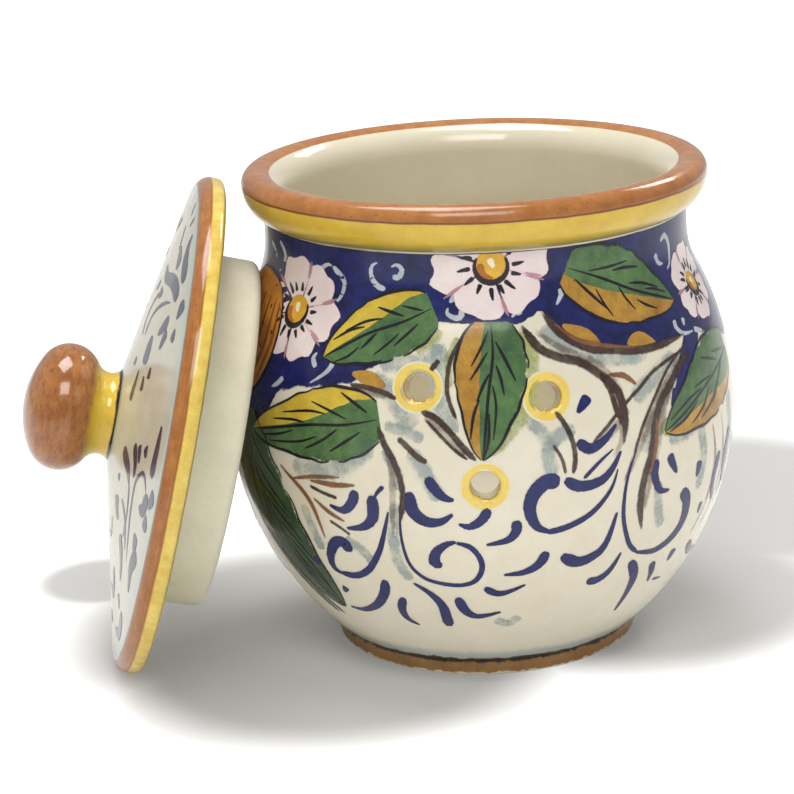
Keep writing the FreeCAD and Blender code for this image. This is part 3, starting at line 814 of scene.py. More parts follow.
# %% [markdown]
# ## Brushes
# Each brush mark is a thin sheet laid on the glaze: a grid bent along a path and given a width
# that swells and tapers as a brush does.  Its UV runs along and across the mark, so one node
# group can fray every edge.  A chart turns two coordinates into a point of the clay, and says how
# many millimetres one unit of each is worth there: (degrees round, height) on the jar, (distance
# from the knob's axis, degrees round) on the lid.  A mark's lift, in millimetres, is its place in
# the order of painting.


# %% Charts
class Chart:
    """Where a painted point lies, and the millimetres per unit of its two coordinates."""

    def __init__(self, place, scale, body, slot, shape):
        self.place, self.scale = place, scale
        self.body, self.slot, self.shape = body, slot, shape


def jar_scale(turn, z):
    radius, across, up = skin_of(z)
    return math.radians(radius), 1 / across


def on_lid(radius, turn, lift=0.0):
    """A point of the lid's cone: distance from the knob's axis, degrees round, and lift."""
    angle = math.radians(turn)
    reach = radius + lift * math.sin(SLOPE)
    height = SEAT_HEIGHT - (radius - KNOB_FOOT) * math.tan(SLOPE) + lift * math.cos(SLOPE)
    return Vector((reach * math.cos(angle), reach * math.sin(angle), height))


def lid_scale(radius, turn):
    return 1 / math.cos(SLOPE), math.radians(radius)


JAR = Chart(on_jar, jar_scale, "jar", "jar_glaze", thrown)
LID = Chart(on_lid, lid_scale, "lid", "lid_glaze", leaned)


# %% Paths and widths
def along(points, u):
    """A smooth curve through the points (Catmull-Rom), u from 0 to 1."""
    spans = len(points) - 1
    k = min(int(u * spans), spans - 1)
    t = u * spans - k
    a, b = points[max(k - 1, 0)], points[k]
    c, d = points[k + 1], points[min(k + 2, spans)]
    return tuple(0.5 * (2 * q + (r - p) * t + (2 * p - 5 * q + 4 * r - s) * t * t
                        + (3 * q - p - 3 * r + s) * t ** 3) for p, q, r, s in zip(a, b, c, d))


PATH_STEP = 0.01


def beside(chart, path, u, off):
    """The chart point at share u of a path and off millimetres to its left."""
    here = along(path, u)
    ahead = along(path, min(u + PATH_STEP, 1.0))
    behind = along(path, max(u - PATH_STEP, 0.0))
    scale = chart.scale(*here)
    way = Vector(((ahead[0] - behind[0]) * scale[0], (ahead[1] - behind[1]) * scale[1]))
    way.normalize()
    return here[0] - way.y * off / scale[0], here[1] + way.x * off / scale[1]


def comma(width, head=0.22):
    """A dab: round where the brush lands, drawn out to a tail."""
    return lambda u: width * min(1.0, u / head + 0.12) ** 0.5 * (1 - 0.8 * u ** 2.4)


def even(width, taper=0.12):
    """A line with short tapers at both ends."""
    return lambda u: width * min(1.0, u / taper + 0.1, (1 - u) / taper + 0.1)


def swelling(width, thin=0.3):
    """A line pressed in the middle."""
    return lambda u: width * (thin + (1 - thin) * math.sin(math.pi * u) ** 1.2)


def fixed(value):
    return lambda u: value


def drifting(first, last):
    """A value that moves from first to last along a mark and settles there."""
    return lambda u: first + (last - first) * math.sin(0.5 * math.pi * min(1.0, u / 0.8))


# %% Sheets of paint
LAYERS = {}
FEWEST_ROWS, MOST_ROWS, ROW_LENGTH = 10, 60, 1.1


def paint_mesh(chart, colour):
    return LAYERS.setdefault((chart.body, colour), (chart, bmesh.new()))[1]


def paint_faces():
    return {colour: len(bm.faces) for (body, colour), (chart, bm) in LAYERS.items()}


def sheet(bm, rows, columns, place, across=(0.0, 1.0)):
    """A grid whose corners go where place(u, v) says, with its own UV."""
    uv = uv_of(bm)
    made = bmesh.ops.create_grid(bm, x_segments=rows, y_segments=columns, size=0.5)
    for vert in made["verts"]:
        u, v = vert.co.x + 0.5, vert.co.y + 0.5
        vert.co = place(u, v)
        for loop in vert.link_loops:
            loop[uv].uv = (u, across[0] + (across[1] - across[0]) * v)


def brush(chart, colour, points, width, lift=0.1, sides=None, columns=2, across=(0.0, 1.0)):
    """A brush mark along a path; sides gives its right and left edge as shares of the width."""
    low, high = sides or (fixed(-1.0), fixed(1.0))
    reach = sum(math.hypot(*(s * (q - p) for s, p, q in zip(chart.scale(*a), a, b)))
                for a, b in zip(points, points[1:]))
    rows = max(FEWEST_ROWS, min(MOST_ROWS, round(reach / ROW_LENGTH)))

    def place(u, v):
        off = width(u) * (low(u) + (high(u) - low(u)) * v)
        return chart.place(*beside(chart, points, u, off), lift)

    sheet(paint_mesh(chart, colour), rows, columns, place, across)


def round_jar(draw):
    """Call draw once for each half of the jar, with the turn to add."""
    for turn in TURNS:
        draw(lambda *points: [(turn + a, z) for a, z in points])


# %% [markdown]
# ## The blue band and its leaves
# Under the rim runs a cobalt band whose lower edge swings round the flowers.  The leaves are laid
# in two colours, one on each side of the midrib, and drawn with ink last.

# %% The band
BAND_TOP = NECK_TOP - 0.4
BAND_EDGE = [(-90, 88), (-80, 76), (-70, 69), (-62, 70), (-56, 78), (-50, 86.4), (-44, 88.6),
             (-38, 89.7), (-30, 91.8), (-26, 96), (-19, 101), (-13, 105.3), (-10, 108.4), (-5, 107.8),
             (1, 107.4), (9.5, 107.2), (12.2, 108.6), (15.2, 110), (17.3, 106.2), (20, 103.4),
             (23.5, 101), (28, 99.2), (39, 97.3), (47.5, 96.6), (58, 96.2), (65, 94.6), (73, 91.5),
             (81, 89), (90, 88)]


def band_edge(turn):
    """Height of the band's lower edge, eased from one knot to the next."""
    turn = (turn + 90) % 180 - 90
    for (a, low), (b, high) in zip(BAND_EDGE, BAND_EDGE[1:]):
        if a <= turn <= b:
            share = (turn - a) / (b - a)
            share = share * share * (3 - 2 * share)
            return low + (high - low) * share
    return BAND_EDGE[0][1]


def place_band(u, v):
    turn = 360 * u - 180
    low = band_edge(turn) + 0.35 * noise.noise(Vector((turn * 0.35, 0.3, 0)))
    return on_jar(turn, low + (BAND_TOP - low) * v, 0.05)


sheet(paint_mesh(JAR, "cobalt_ground"), 300, 16, place_band, (0.0, 0.5))
round_jar(lambda at: brush(JAR, "cobalt_ground", at((60, 98), (55, 92), (49.5, 86), (45.6, 79.5)),
                           comma(3.5, 0.1), 0.055))


# %% Leaves
def leaf_width(width):
    """The half width of a leaf: blunt at the stalk, drawn out at the tip, with faint teeth."""
    def half(u):
        body = math.sin(math.pi * (0.10 + 0.90 * u) ** 0.94) ** 0.78
        teeth = 1 + 0.03 * math.sin(2 * math.pi * 6.3 * u)
        return width * max(body, 0.02) * teeth
    return half


def leaf(at, spine, width, left, right, split, veins=4, lift=0.09):
    """Two colours that meet at split, a midrib, side veins and a broken outline in ink."""
    path = at(*spine)
    half = leaf_width(width)
    brush(JAR, left, path, half, lift, (split, fixed(1.0)), 6, (0.4, 1.0))
    brush(JAR, right, path, half, lift, (fixed(-1.0), split), 6, (0.0, 0.6))
    random.seed(round(spine[0][1] * 10))
    ink_leaf(path, half, veins, lift + 0.05)


def ink_leaf(path, half, veins, lift):
    """The midrib runs on past the tip; side veins are long, short or only dashes."""
    rib = [edge_point(path, half, u, 0.04 * math.sin(7 * u)) for u in (0.0, 0.3, 0.6, 0.85, 1.0)]
    brush(JAR, "ink", rib, even(0.46, 0.3), lift)
    for k in range(veins):
        for side in (-1, 1):
            start = 0.10 + 0.68 * (k + 0.5 * (side > 0)) / veins + 0.03 * random.random()
            first = random.choice((0.05, 0.12, 0.30))
            last = first + random.choice((0.34, 0.44, 0.58))
            lean = 0.12 + 0.16 * random.random()
            vein = [edge_point(path, half, start + lean * d, side * (first + (last - first) * s))
                    for d, s in ((0.0, 0.0), (0.55, 0.45), (1.2, 1.0))]
            brush(JAR, "ink", vein, swelling(0.36 + 0.18 * random.random(), 0.35), lift)
    for side, first, last, bold in ((-1, 0.0, 0.55, 0.55), (-1, 0.52, 1.0, 0.4),
                                    (1, 0.04, 0.40, 0.4), (1, 0.46, 1.0, 0.52)):
        steps = [first + (last - first) * k / 7 for k in range(8)]
        outline = [edge_point(path, half, u, side * (0.99 + 0.03 * random.random()))
                   for u in steps]
        brush(JAR, "ink", outline, swelling(bold, 0.4), lift)


def edge_point(path, half, u, side):
    """A chart point at share u of a path, side times the half width off it."""
    u = min(max(u, 0.0), 1.0)
    return beside(JAR, path, u, half(u) * side)


def draw_leaves(at):
    leaf(at, [(-11.5, 112), (-20, 108), (-29.2, 103.6), (-38.5, 97.6)], 9.2, "leaf_green",
         "leaf_yellow", drifting(-0.95, -0.15))
    leaf(at, [(-22.5, 83.5), (-32, 81), (-43.2, 78.2), (-60.5, 73)], 10.2, "leaf_green",
         "leaf_yellow", drifting(-1.0, -0.12))
    leaf(at, [(2.6, 108.3), (2.3, 99), (1.3, 88), (-0.4, 73)], 9.7, "leaf_green", "leaf_ochre",
         fixed(-0.31))
    leaf(at, [(22.7, 120.5), (34.1, 115.2), (44.9, 110.5), (56.2, 105.6)], 10.3, "leaf_green",
         "leaf_ochre", drifting(-0.36, -0.16))
    leaf(at, [(77, 87), (66, 84), (56, 79.5), (42.6, 73.4)], 10.8, "leaf_ochre", "leaf_green",
         drifting(0.95, 0.25))
    leaf(at, [(-66, 77), (-60, 59), (-52.5, 42), (-42, 22)], 12.8, "leaf_dark", "leaf_dark",
         fixed(0.1), 7)
    leaf(at, [(97, 99), (97.5, 90), (96, 80), (92.5, 68)], 9.2, "leaf_yellow", "leaf_green",
         drifting(0.5, -0.1))


round_jar(draw_leaves)
print("paint so far", paint_faces())

# %% [markdown]
# ## Flowers, fruit and curls
# A blossom is six petals laid wet, pale in the middle and pink at their edges, with stamens in
# ink and a yellow heart.  Three stand under the rim on each half of the jar, the third of them
# smaller.  A fruit and small white curls fill the blue between them.


# %% Blossoms
def place_round(centre, right, above, lift):
    return on_jar(*near(centre[0], centre[1], right, above), lift)


def petal(centre, size, heading, spread, lift, seed):
    """One petal as a sheet in polar form: u runs outward, v from side to side."""
    def place(u, v):
        side = 2 * v - 1
        notch = 1 - 0.06 * math.exp(-(side / 0.2) ** 2) + 0.10 * noise.noise(
            Vector((seed, 4.0 * v, 0.0)))
        reach = size * (0.16 + 0.84 * u * notch * (1 - 0.26 * abs(side) ** 3.2))
        angle = math.radians(heading + spread * side * (0.84 + 0.16 * u))
        return place_round(centre, reach * math.cos(angle), reach * math.sin(angle), lift)

    sheet(paint_mesh(JAR, "petal"), 10, 14, lambda u, v: place(1 - u, v))


def polar_mark(colour, centre, points, width, lift):
    """A brush mark given in millimetres right of and above a flower's middle."""
    brush(JAR, colour, [near(centre[0], centre[1], x, y) for x, y in points], width, lift)


def petal_outline(centre, size, heading, spread, lift):
    """Short broken ink lines at the petal's sides."""
    for side in (-1, 1):
        angle = math.radians(heading + side * spread * 0.94)
        points = [(size * u * math.cos(angle), size * u * math.sin(angle))
                  for u in (0.6 + 0.34 * k / 4 for k in range(5))]
        polar_mark("pink_edge", centre, points, swelling(0.55, 0.3), lift)


PETALS = [(188, 27, 1.0), (249, 39, 0.88), (316, 31, 0.9), (8, 28, 0.98), (62, 32, 0.95),
          (125, 38, 0.95)]


def blossom(centre, size, turn, seed):
    """Petals, stamens and the yellow heart of one flower."""
    random.seed(seed)
    for k, (heading, spread, share) in enumerate(PETALS):
        grown = size * share * (0.98 + 0.05 * random.random())
        petal(centre, grown, heading + turn, spread, 0.09 + 0.004 * k, seed + k)
        petal_outline(centre, grown, heading + turn, spread, 0.13)
    for k in range(14):
        angle = math.radians(25.7 * k + 12 * random.random())
        first, last = size * (0.32 + 0.03 * random.random()), size * (0.48 + 0.1 * random.random())
        points = [(r * math.cos(angle + 0.15 * (r / last - 0.7)),
                   r * math.sin(angle + 0.15 * (r / last - 0.7)))
                  for r in (first, (first + last) / 2, last)]
        polar_mark("ink", centre, points, comma(0.72, 0.2), 0.15)
    heart = size * 0.27
    disc("heart", centre, heart, 0.14)
    ring = [(heart * math.cos(math.radians(a)), heart * math.sin(math.radians(a)))
            for a in range(145, 400, 25)]
    polar_mark("ink", centre, ring, swelling(0.95, 0.4), 0.16)
    polar_mark("orange_dab", centre, [(-0.7 * heart, 0.2 * heart), (-0.5 * heart, -0.5 * heart),
                                      (0.1 * heart, -0.75 * heart)], comma(1.3), 0.155)
    polar_mark("white_dab", centre, [(-0.1 * heart, 0.5 * heart), (0.15 * heart, -0.1 * heart)],
               comma(1.2, 0.4), 0.165)


def disc(colour, centre, radius, lift):
    """A round dab: a grid with its corners drawn in to a circle."""
    def place(u, v):
        x, y = 2 * u - 1, 2 * v - 1
        return place_round(centre, radius * x * math.sqrt(1 - y * y / 2),
                           radius * y * math.sqrt(1 - x * x / 2), lift)

    sheet(paint_mesh(JAR, colour), 10, 10, place)


BLOSSOMS = [((3.2, 122.6), 16.4, 0), ((-51.4, 107.4), 16.4, -14), ((69.5, 107), 12.6, 22)]


def draw_blossoms(at):
    for number, (centre, size, turn) in enumerate(BLOSSOMS):
        middle = at(centre)[0]
        blossom(middle, size, turn, 11 + 20 * number)


round_jar(draw_blossoms)


# %% Fruit between the flowers
def draw_fruit(at):
    """A ripe fruit with streaks and seeds, half hidden behind the leaves."""
    middle = at((-72, 98))[0]
    disc("fruit", middle, 19.5, 0.172)
    rim = [(19.3 * math.cos(math.radians(a)), 19.3 * math.sin(math.radians(a)))
           for a in range(-95, 100, 20)]
    polar_mark("ink", middle, rim, swelling(0.5, 0.4), 0.185)
    for x in (-12, -7, -2, 3, 7, 10.5, 13):
        bow = [(x * 1.05, 13), (x * 1.3, 0), (x * 1.0, -13)]
        polar_mark("fruit_streak", middle, bow, swelling(0.9, 0.2), 0.18)
    for k in range(26):
        angle, reach = k * 2.4, 6.0 + 0.47 * k
        x, y = reach * math.cos(angle), reach * math.sin(angle)
        polar_mark("ink", middle, [(x, y + 0.7), (x, y - 0.6)], comma(0.5, 0.5), 0.19)


round_jar(draw_fruit)

# %% White curls on the blue
CURLS = [
    [(-43.2, 114.4), (-45.4, 116.2), (-45, 119), (-42.3, 121.1), (-40.5, 120.8)],
    [(-40.5, 120.8), (-38.2, 119), (-36.5, 116.7), (-37.4, 112.8), (-40.2, 110)],
    [(-24.2, 116.3), (-26.4, 116.8), (-28.2, 119), (-28.2, 122), (-26.3, 123.4)],
    [(-22.5, 119.6), (-20.6, 119.7), (-19.7, 121.7), (-21, 123), (-22.7, 122.3)],
    [(-40.3, 94.6), (-41.4, 96.7), (-40.6, 98.4)],
    [(-38.3, 99), (-35.9, 97.6), (-36, 95.3), (-38, 92.9), (-41.4, 90.2)],
    [(-64.1, 124), (-61, 121), (-62.2, 117.5), (-64.4, 115.3)],
    [(-70.8, 122.6), (-67.6, 120.4), (-66.9, 118.6)],
    [(-50, 90), (-51.9, 87.9), (-53.8, 86.6)],
    [(-4.6, 111.7), (-4.6, 109.7), (-6.2, 109.4), (-8, 110.5), (-7.8, 112)],
    [(-6, 115), (-7.4, 113.2)], [(9.8, 109.4), (9.3, 110.3), (7.7, 109)],
    [(20.9, 115.1), (21, 113.5), (19.4, 111)], [(22.4, 117.2), (22.9, 116.5)],
    [(53.6, 118.6), (54.8, 115.9), (57, 115.2)],
    [(56.5, 121.4), (58.8, 122.6), (61.2, 119.5), (60.7, 115), (58.4, 113.2)],
    [(53.2, 101), (52.9, 99), (55.2, 96.8), (59.5, 96.4)], [(56.8, 100.6), (56.3, 98.6)],
    [(47.9, 87), (46.9, 84.2)], [(60, 96.6), (64, 95.2)],
    [(86, 118), (89, 120), (91.5, 117), (90.5, 112.5), (87.5, 110.5)],
    [(95, 103), (97, 99.5), (100, 99)],
]


def draw_curls(at):
    for curl in CURLS:
        brush(JAR, "white_curl", at(*curl), comma(0.95, 0.15), 0.07)


round_jar(draw_curls)

# %% [markdown]
# ## Twigs, washes and scrolls
# Below the band the ground stays cream.  Twigs come down from the leaves in a dry brown brush with
# a pale blue-green wash beside them, and cobalt dabs and scrolls are written over the belly.

# %% Twigs and washes
BRUSH_SPREAD = 1.4
TWIGS = [
    ([(9.8, 107), (11.6, 103.8), (13.8, 100.7), (18, 98.2), (22.6, 96.4), (26.5, 93), (30.2, 88.6),
      (31.5, 84.5), (31.8, 79), (31, 72.6)], 1.0),
    ([(27, 93), (29, 88), (29.8, 83), (31.4, 78)], 0.7),
    ([(15.3, 110), (17.4, 106.4), (19.4, 103.7), (22.2, 101.4), (26, 99.2), (31, 98), (39, 96.4),
      (46, 96.3), (55.5, 96.8)], 0.95),
    ([(56, 92.4), (50.5, 89.6), (45.8, 85.5), (41.7, 81.2), (39.7, 76), (38.4, 69), (36.4, 62),
      (35.8, 54), (37.3, 46)], 1.0),
    ([(52, 93.3), (42, 90.5), (36.7, 87), (31.8, 83.4), (27, 78.5), (23.4, 75)], 0.45),
    ([(55, 94.6), (47, 90.6), (41.6, 85), (36.4, 77), (33.4, 69)], 0.4),
    ([(-23, 82), (-21.2, 76.7), (-19.4, 72.8), (-18, 68), (-17.6, 62), (-18.6, 55)], 0.75),
    ([(-18.4, 79), (-16.2, 76.6), (-14, 74), (-12, 72.6)], 0.7),
    ([(-13.4, 86), (-11.3, 85.3), (-9.2, 83.6), (-6.6, 80.2), (-4, 76.2), (-1.6, 73)], 0.75),
    ([(-12.2, 84), (-9.6, 80.6), (-6.4, 76.4), (-3.4, 73.4)], 0.4),
    ([(-30.5, 91.7), (-25.3, 91.3), (-21.6, 90.4), (-18.8, 89)], 0.6),
    ([(-11.4, 96.6), (-9.6, 99.2)], 0.6), ([(-4, 105), (-7, 99), (-7.6, 91), (-5.6, 84)], 0.5),
    ([(15.4, 85), (17.5, 81), (18.9, 76.6), (19.4, 72), (18.8, 67)], 0.6),
    ([(14.6, 76), (16.4, 72), (17.2, 67.6)], 0.4),
    ([(-40.7, 62), (-36.6, 60.7), (-33.2, 60)], 0.45),
    ([(-36.3, 52.7), (-33.3, 50.9), (-31.2, 49.3)], 0.4),
    ([(-62, 41), (-53, 28), (-44.5, 18.6)], 0.55), ([(-66, 46), (-56, 29), (-47, 18.4)], 0.5),
    ([(94, 68), (90, 58), (88.5, 46), (91, 36)], 0.7), ([(104, 84), (106, 74), (104.5, 64)], 0.5),
]
TWIG_WASHES = [
    ([(12.5, 105.6), (20, 99.4), (27, 94.4), (31, 86), (31, 76), (28.4, 70)], 1.5),
    ([(53, 93), (46, 87.4), (39.4, 80), (34.4, 70), (31, 62)], 1.5),
    ([(50, 90.5), (44, 83), (40.4, 74), (38, 62), (36.8, 52)], 1.9),
    ([(33.4, 82), (27.4, 76.6), (22, 72)], 1.3),
    ([(-30, 91), (-25, 90.4), (-20, 89.6)], 1.3),
    ([(-22.2, 79), (-19.8, 70), (-20, 60), (-20.6, 50)], 0.9),
    ([(-12.6, 84.6), (-8.4, 80.6), (-3.6, 74.4)], 1.5),
    ([(61, 70), (63.5, 58), (62.5, 46), (58.6, 37)], 1.0),
    ([(66, 72), (68.5, 60), (68, 48), (64, 38)], 0.9), ([(71, 66), (72.6, 54), (70, 42)], 0.8),
    ([(95, 69), (91, 58), (89.5, 46)], 1.5),
]
RUST_TWIGS = [
    ([(-50, 66), (-46.8, 63.3), (-43, 60), (-40.6, 56), (-39.4, 51.3), (-38.6, 46.3)], 0.7),
    ([(-46.5, 62.6), (-39, 65), (-32, 66.2)], 0.5), ([(-40.6, 63.6), (-33.6, 63.8), (-28.4, 64.6)], 0.7),
    ([(-40, 58.6), (-35.9, 55.2), (-32, 53.2)], 0.6),
    ([(17.8, 106.8), (22.6, 102.2), (29, 99.6), (38, 97.4)], 0.6),
    ([(40.4, 78), (39.6, 70), (37.8, 62)], 0.6), ([(29, 92), (33, 91), (36, 88)], 0.7),
]
WASHES = [
    ([(-26, 93.6), (-20.6, 91), (-17.2, 86), (-15.4, 81)], 2.6),
    ([(-21.6, 82), (-16.4, 80.6), (-12.6, 78.6)], 1.4),
    ([(-24, 98), (-18, 98.6), (-12.4, 98), (-8.6, 103)], 2.6),
    ([(-9.4, 104), (-9.8, 96), (-9, 88), (-5.6, 80)], 2.0),
    ([(-46, 66.6), (-37, 67), (-30.4, 70.4), (-24, 77.4)], 2.7),
    ([(-21.4, 76), (-19, 70), (-18.2, 64)], 1.5),
    ([(-19.2, 62), (-20.6, 50), (-20.2, 42), (-17.6, 36.4)], 1.5),
    ([(-15.8, 76), (-12.5, 69.4), (-9.4, 61.8)], 2.0),
    ([(-43.6, 56), (-42, 48), (-40.6, 42)], 1.6), ([(-33, 48), (-29, 45), (-26.6, 41)], 1.5),
    ([(20, 79.6), (15.6, 78), (13.6, 73.8), (14.8, 67)], 1.9),
    ([(9.4, 84), (12.4, 79.4), (14.6, 74)], 1.7),
    ([(15, 106.6), (18, 101.6), (23.4, 98.4), (31, 96.2), (41, 94.8)], 2.2),
    ([(50, 92.6), (41, 88.4), (34.4, 84.4)], 2.3), ([(46.4, 86), (39.6, 78), (36.4, 69)], 1.8),
    ([(40.6, 60), (41.4, 52), (43.4, 45)], 1.5), ([(43.5, 71.4), (50, 71.6), (57, 75)], 2.4),
    ([(-63.5, 46), (-56, 31), (-47.6, 20)], 2.2), ([(55, 72), (57, 62), (56, 52)], 1.8),
    ([(72, 76), (74, 60), (71, 44)], 2.6),
    ([(102, 82), (104, 70), (101, 58)], 2.2), ([(86, 80), (87.5, 70), (91, 62)], 2.0),
    ([(8, 24), (5, 21.4), (1.6, 23.4)], 1.4),
]
HALOS = [
    ([(9.6, 107), (11.4, 101), (11.2, 94), (9.6, 86.4), (5, 79.6), (1, 74)], 1.7),
    ([(-15.6, 101.4), (-11.6, 104.4), (-10.4, 107)], 1.8), ([(-5.4, 105), (-7.4, 99), (-7, 92)], 0.9),
    ([(-35, 72.4), (-28.4, 75), (-24.4, 79)], 0.8), ([(44, 77), (42.4, 74), (46, 73), (54, 75)], 1.2),
]
BUDS = [[(20, 106), (23, 104), (26.2, 102), (28.6, 99.8)], [(35.8, 98.4), (39.7, 99.2), (44.6, 96.6)],
        [(-30, 94.6), (-25.4, 93.6), (-21.6, 92)]]


def draw_twigs(at):
    for colour, marks, lift, width in (
            ("wash", WASHES, 0.03, even), ("halo", HALOS, 0.035, even),
            ("twig_wash", TWIG_WASHES, 0.045, swelling),
            ("twig", TWIGS, 0.115, even), ("rust_twig", RUST_TWIGS, 0.12, swelling)):
        for points, size in marks:
            brush(JAR, colour, at(*points), width(BRUSH_SPREAD * size), lift)
    for bud in BUDS:
        brush(JAR, "leaf_ochre", at(*bud), swelling(2.1, 0.2), 0.062)


round_jar(draw_twigs)

# %% Cobalt scrolls and dabs
SCROLLS = [
    ([(15.9, 65.6), (12.8, 66), (10.1, 62.8), (9.3, 58.2), (10.9, 53.3), (14, 51.3)], 1.7, 0.1),
    ([(13, 51.3), (17.1, 52), (21.7, 54.1), (25.1, 57.2), (27.9, 61.6), (29.4, 66.6)], 0.75, 0.1),
    ([(-10, 42.4), (-11.7, 43), (-11.4, 46), (-9.1, 48.8), (-6.6, 49.8)], 1.3, 0.3),
    ([(-7, 49.6), (-3.7, 48.2), (-1.6, 44.7), (-1.3, 40.8), (-3, 37.2), (-6.5, 35.8), (-11.2, 36.4),
      (-15, 38.2), (-17.7, 42.4), (-18.7, 50), (-18.4, 58), (-17.2, 66.4)], 0.62, 0.1),
    ([(-32.8, 43.5), (-33.2, 46.3), (-35.9, 45.9), (-38.6, 41), (-38.7, 36.9), (-36, 35.4)], 1.4, 0.1),
    ([(-37, 35.7), (-32.4, 35.9), (-28, 39.2), (-24.4, 45.7), (-22.4, 52.3), (-21.1, 58)], 0.85, 0.1),
    ([(37.4, 39.2), (34.1, 43.2), (31.6, 51.1), (31.3, 58.7), (32.4, 65.6), (34.4, 71)], 0.55, 0.1),
    ([(49, 54.2), (51.6, 50.7), (52, 44.4), (49.2, 40), (43.7, 37.8), (37, 39.3)], 1.5, 0.1),
    ([(98, 44), (96.5, 49), (99.5, 54), (104, 53.5), (106.5, 48)], 1.4, 0.1),
    ([(106.5, 49), (105, 41), (99, 35.5), (91.5, 36), (86.6, 43), (84.8, 52), (85.4, 62)], 0.6, 0.1),
    ([(48.4, 26.4), (52.6, 25.6)], 0.4, 0.1), ([(21.2, 65.6), (25, 69.6), (28.4, 72.4)], 0.45, 0.1),
]
DABS = [
    ([(16.9, 66.1), (20.3, 63.6), (24.9, 64), (27.8, 66.7), (30.3, 71.6)], 1.25),
    ([(20, 76.2), (22.8, 73.6), (26.4, 75.4), (29.5, 79)], 1.2),
    ([(23.4, 87.6), (22, 85.6), (20.5, 83.6)], 1.2),
    ([(16.8, 43.5), (20.3, 40.8), (24, 41.2), (27.4, 44.5), (29.6, 54)], 1.4),
    ([(24.3, 33.5), (27.2, 33.1), (30.3, 35.6), (32.4, 40.8)], 1.1),
    ([(36.1, 36.8), (38.9, 31.4), (39.2, 26), (38.2, 18.7)], 1.25),
    ([(44.4, 33.6), (45.8, 30), (46.2, 26.5)], 1.0),
    ([(39.9, 66.5), (39.4, 62.2), (41.2, 57.2), (44.4, 56.2)], 1.1),
    ([(43.8, 66.6), (45, 63.6), (46.5, 60.5)], 1.1), ([(55.3, 61), (54.5, 56.4)], 1.1),
    ([(59.5, 47), (59.1, 43.6)], 0.8), ([(52.6, 35), (51.7, 31.3)], 1.1),
    ([(-0.8, 34.9), (1.6, 32.9), (4.5, 33), (8.9, 35.2)], 0.95),
    ([(-7.4, 31.6), (-5.9, 26.9), (-2.8, 24.6), (3.2, 26)], 1.15),
    ([(13.2, 45.5), (11.9, 41.9), (8.5, 39.4), (3.6, 38.9)], 1.15),
    ([(6, 55.6), (6.5, 52.9), (4.6, 50), (-0.2, 48.7)], 1.15),
    ([(0.6, 59.6), (-0.9, 56.4), (-3.5, 54.4), (-5.9, 55.2)], 1.1),
    ([(-16.1, 64.3), (-15.7, 59), (-13.1, 55.9), (-9.8, 55.8), (-7, 58.1)], 1.45),
    ([(-12.2, 68.6), (-10.5, 65.1), (-8.5, 62.8), (-6.6, 62.2)], 1.2),
    ([(-28.5, 63.2), (-29.7, 59.2), (-32.2, 56.6), (-35.6, 57.5)], 1.2),
    ([(-24.6, 62.4), (-24.6, 58), (-25.2, 55), (-27.6, 52.4), (-31.9, 51.2)], 1.4),
    ([(-21.8, 65.2), (-23.2, 63.4), (-24.4, 61)], 0.5),
    ([(-44.7, 38.9), (-43.4, 36.8)], 1.1), ([(-37.4, 30.6), (-38.8, 28.6)], 0.9),
    ([(-24.7, 36), (-25.9, 31.4), (-29.4, 26.4), (-34.7, 23.2), (-39.6, 23)], 1.15),
    ([(-21, 30.4), (-22.5, 26.2), (-21.9, 22.5), (-19, 20.3)], 1.0),
    ([(-10.6, 20.6), (-10.9, 24), (-11.5, 28.6), (-14, 32.7), (-17.7, 36)], 1.2),
    ([(66, 60), (64.4, 52), (66.4, 45)], 1.2), ([(74, 64), (71, 58), (72.6, 50), (77, 48)], 1.4),
    ([(80, 60), (82.4, 52), (80.6, 44)], 1.2), ([(60.4, 34), (66, 29), (72, 28.6)], 1.2),
    ([(78, 38), (81, 32), (80, 26)], 1.2), ([(-84, 62), (-80, 55), (-82.4, 47)], 1.3),
    ([(-78, 36), (-73, 29), (-66, 26)], 1.2), ([(94, 61), (97, 66.5), (101.5, 70)], 1.3),
    ([(110, 70), (108.5, 63), (110.6, 57)], 1.1), ([(96, 30), (90.5, 28), (86, 22.5)], 1.2),
    ([(101, 26), (98, 21), (93, 18.5)], 1.0), ([(107, 33), (105, 27), (106, 21)], 1.1),
]


def draw_scrolls(at):
    for points, width, head in SCROLLS:
        brush(JAR, "cobalt", at(*points), comma(BRUSH_SPREAD * width, head), 0.105)
    for points, width in DABS:
        brush(JAR, "cobalt", at(*points), comma(BRUSH_SPREAD * width, 0.16), 0.10)


round_jar(draw_scrolls)

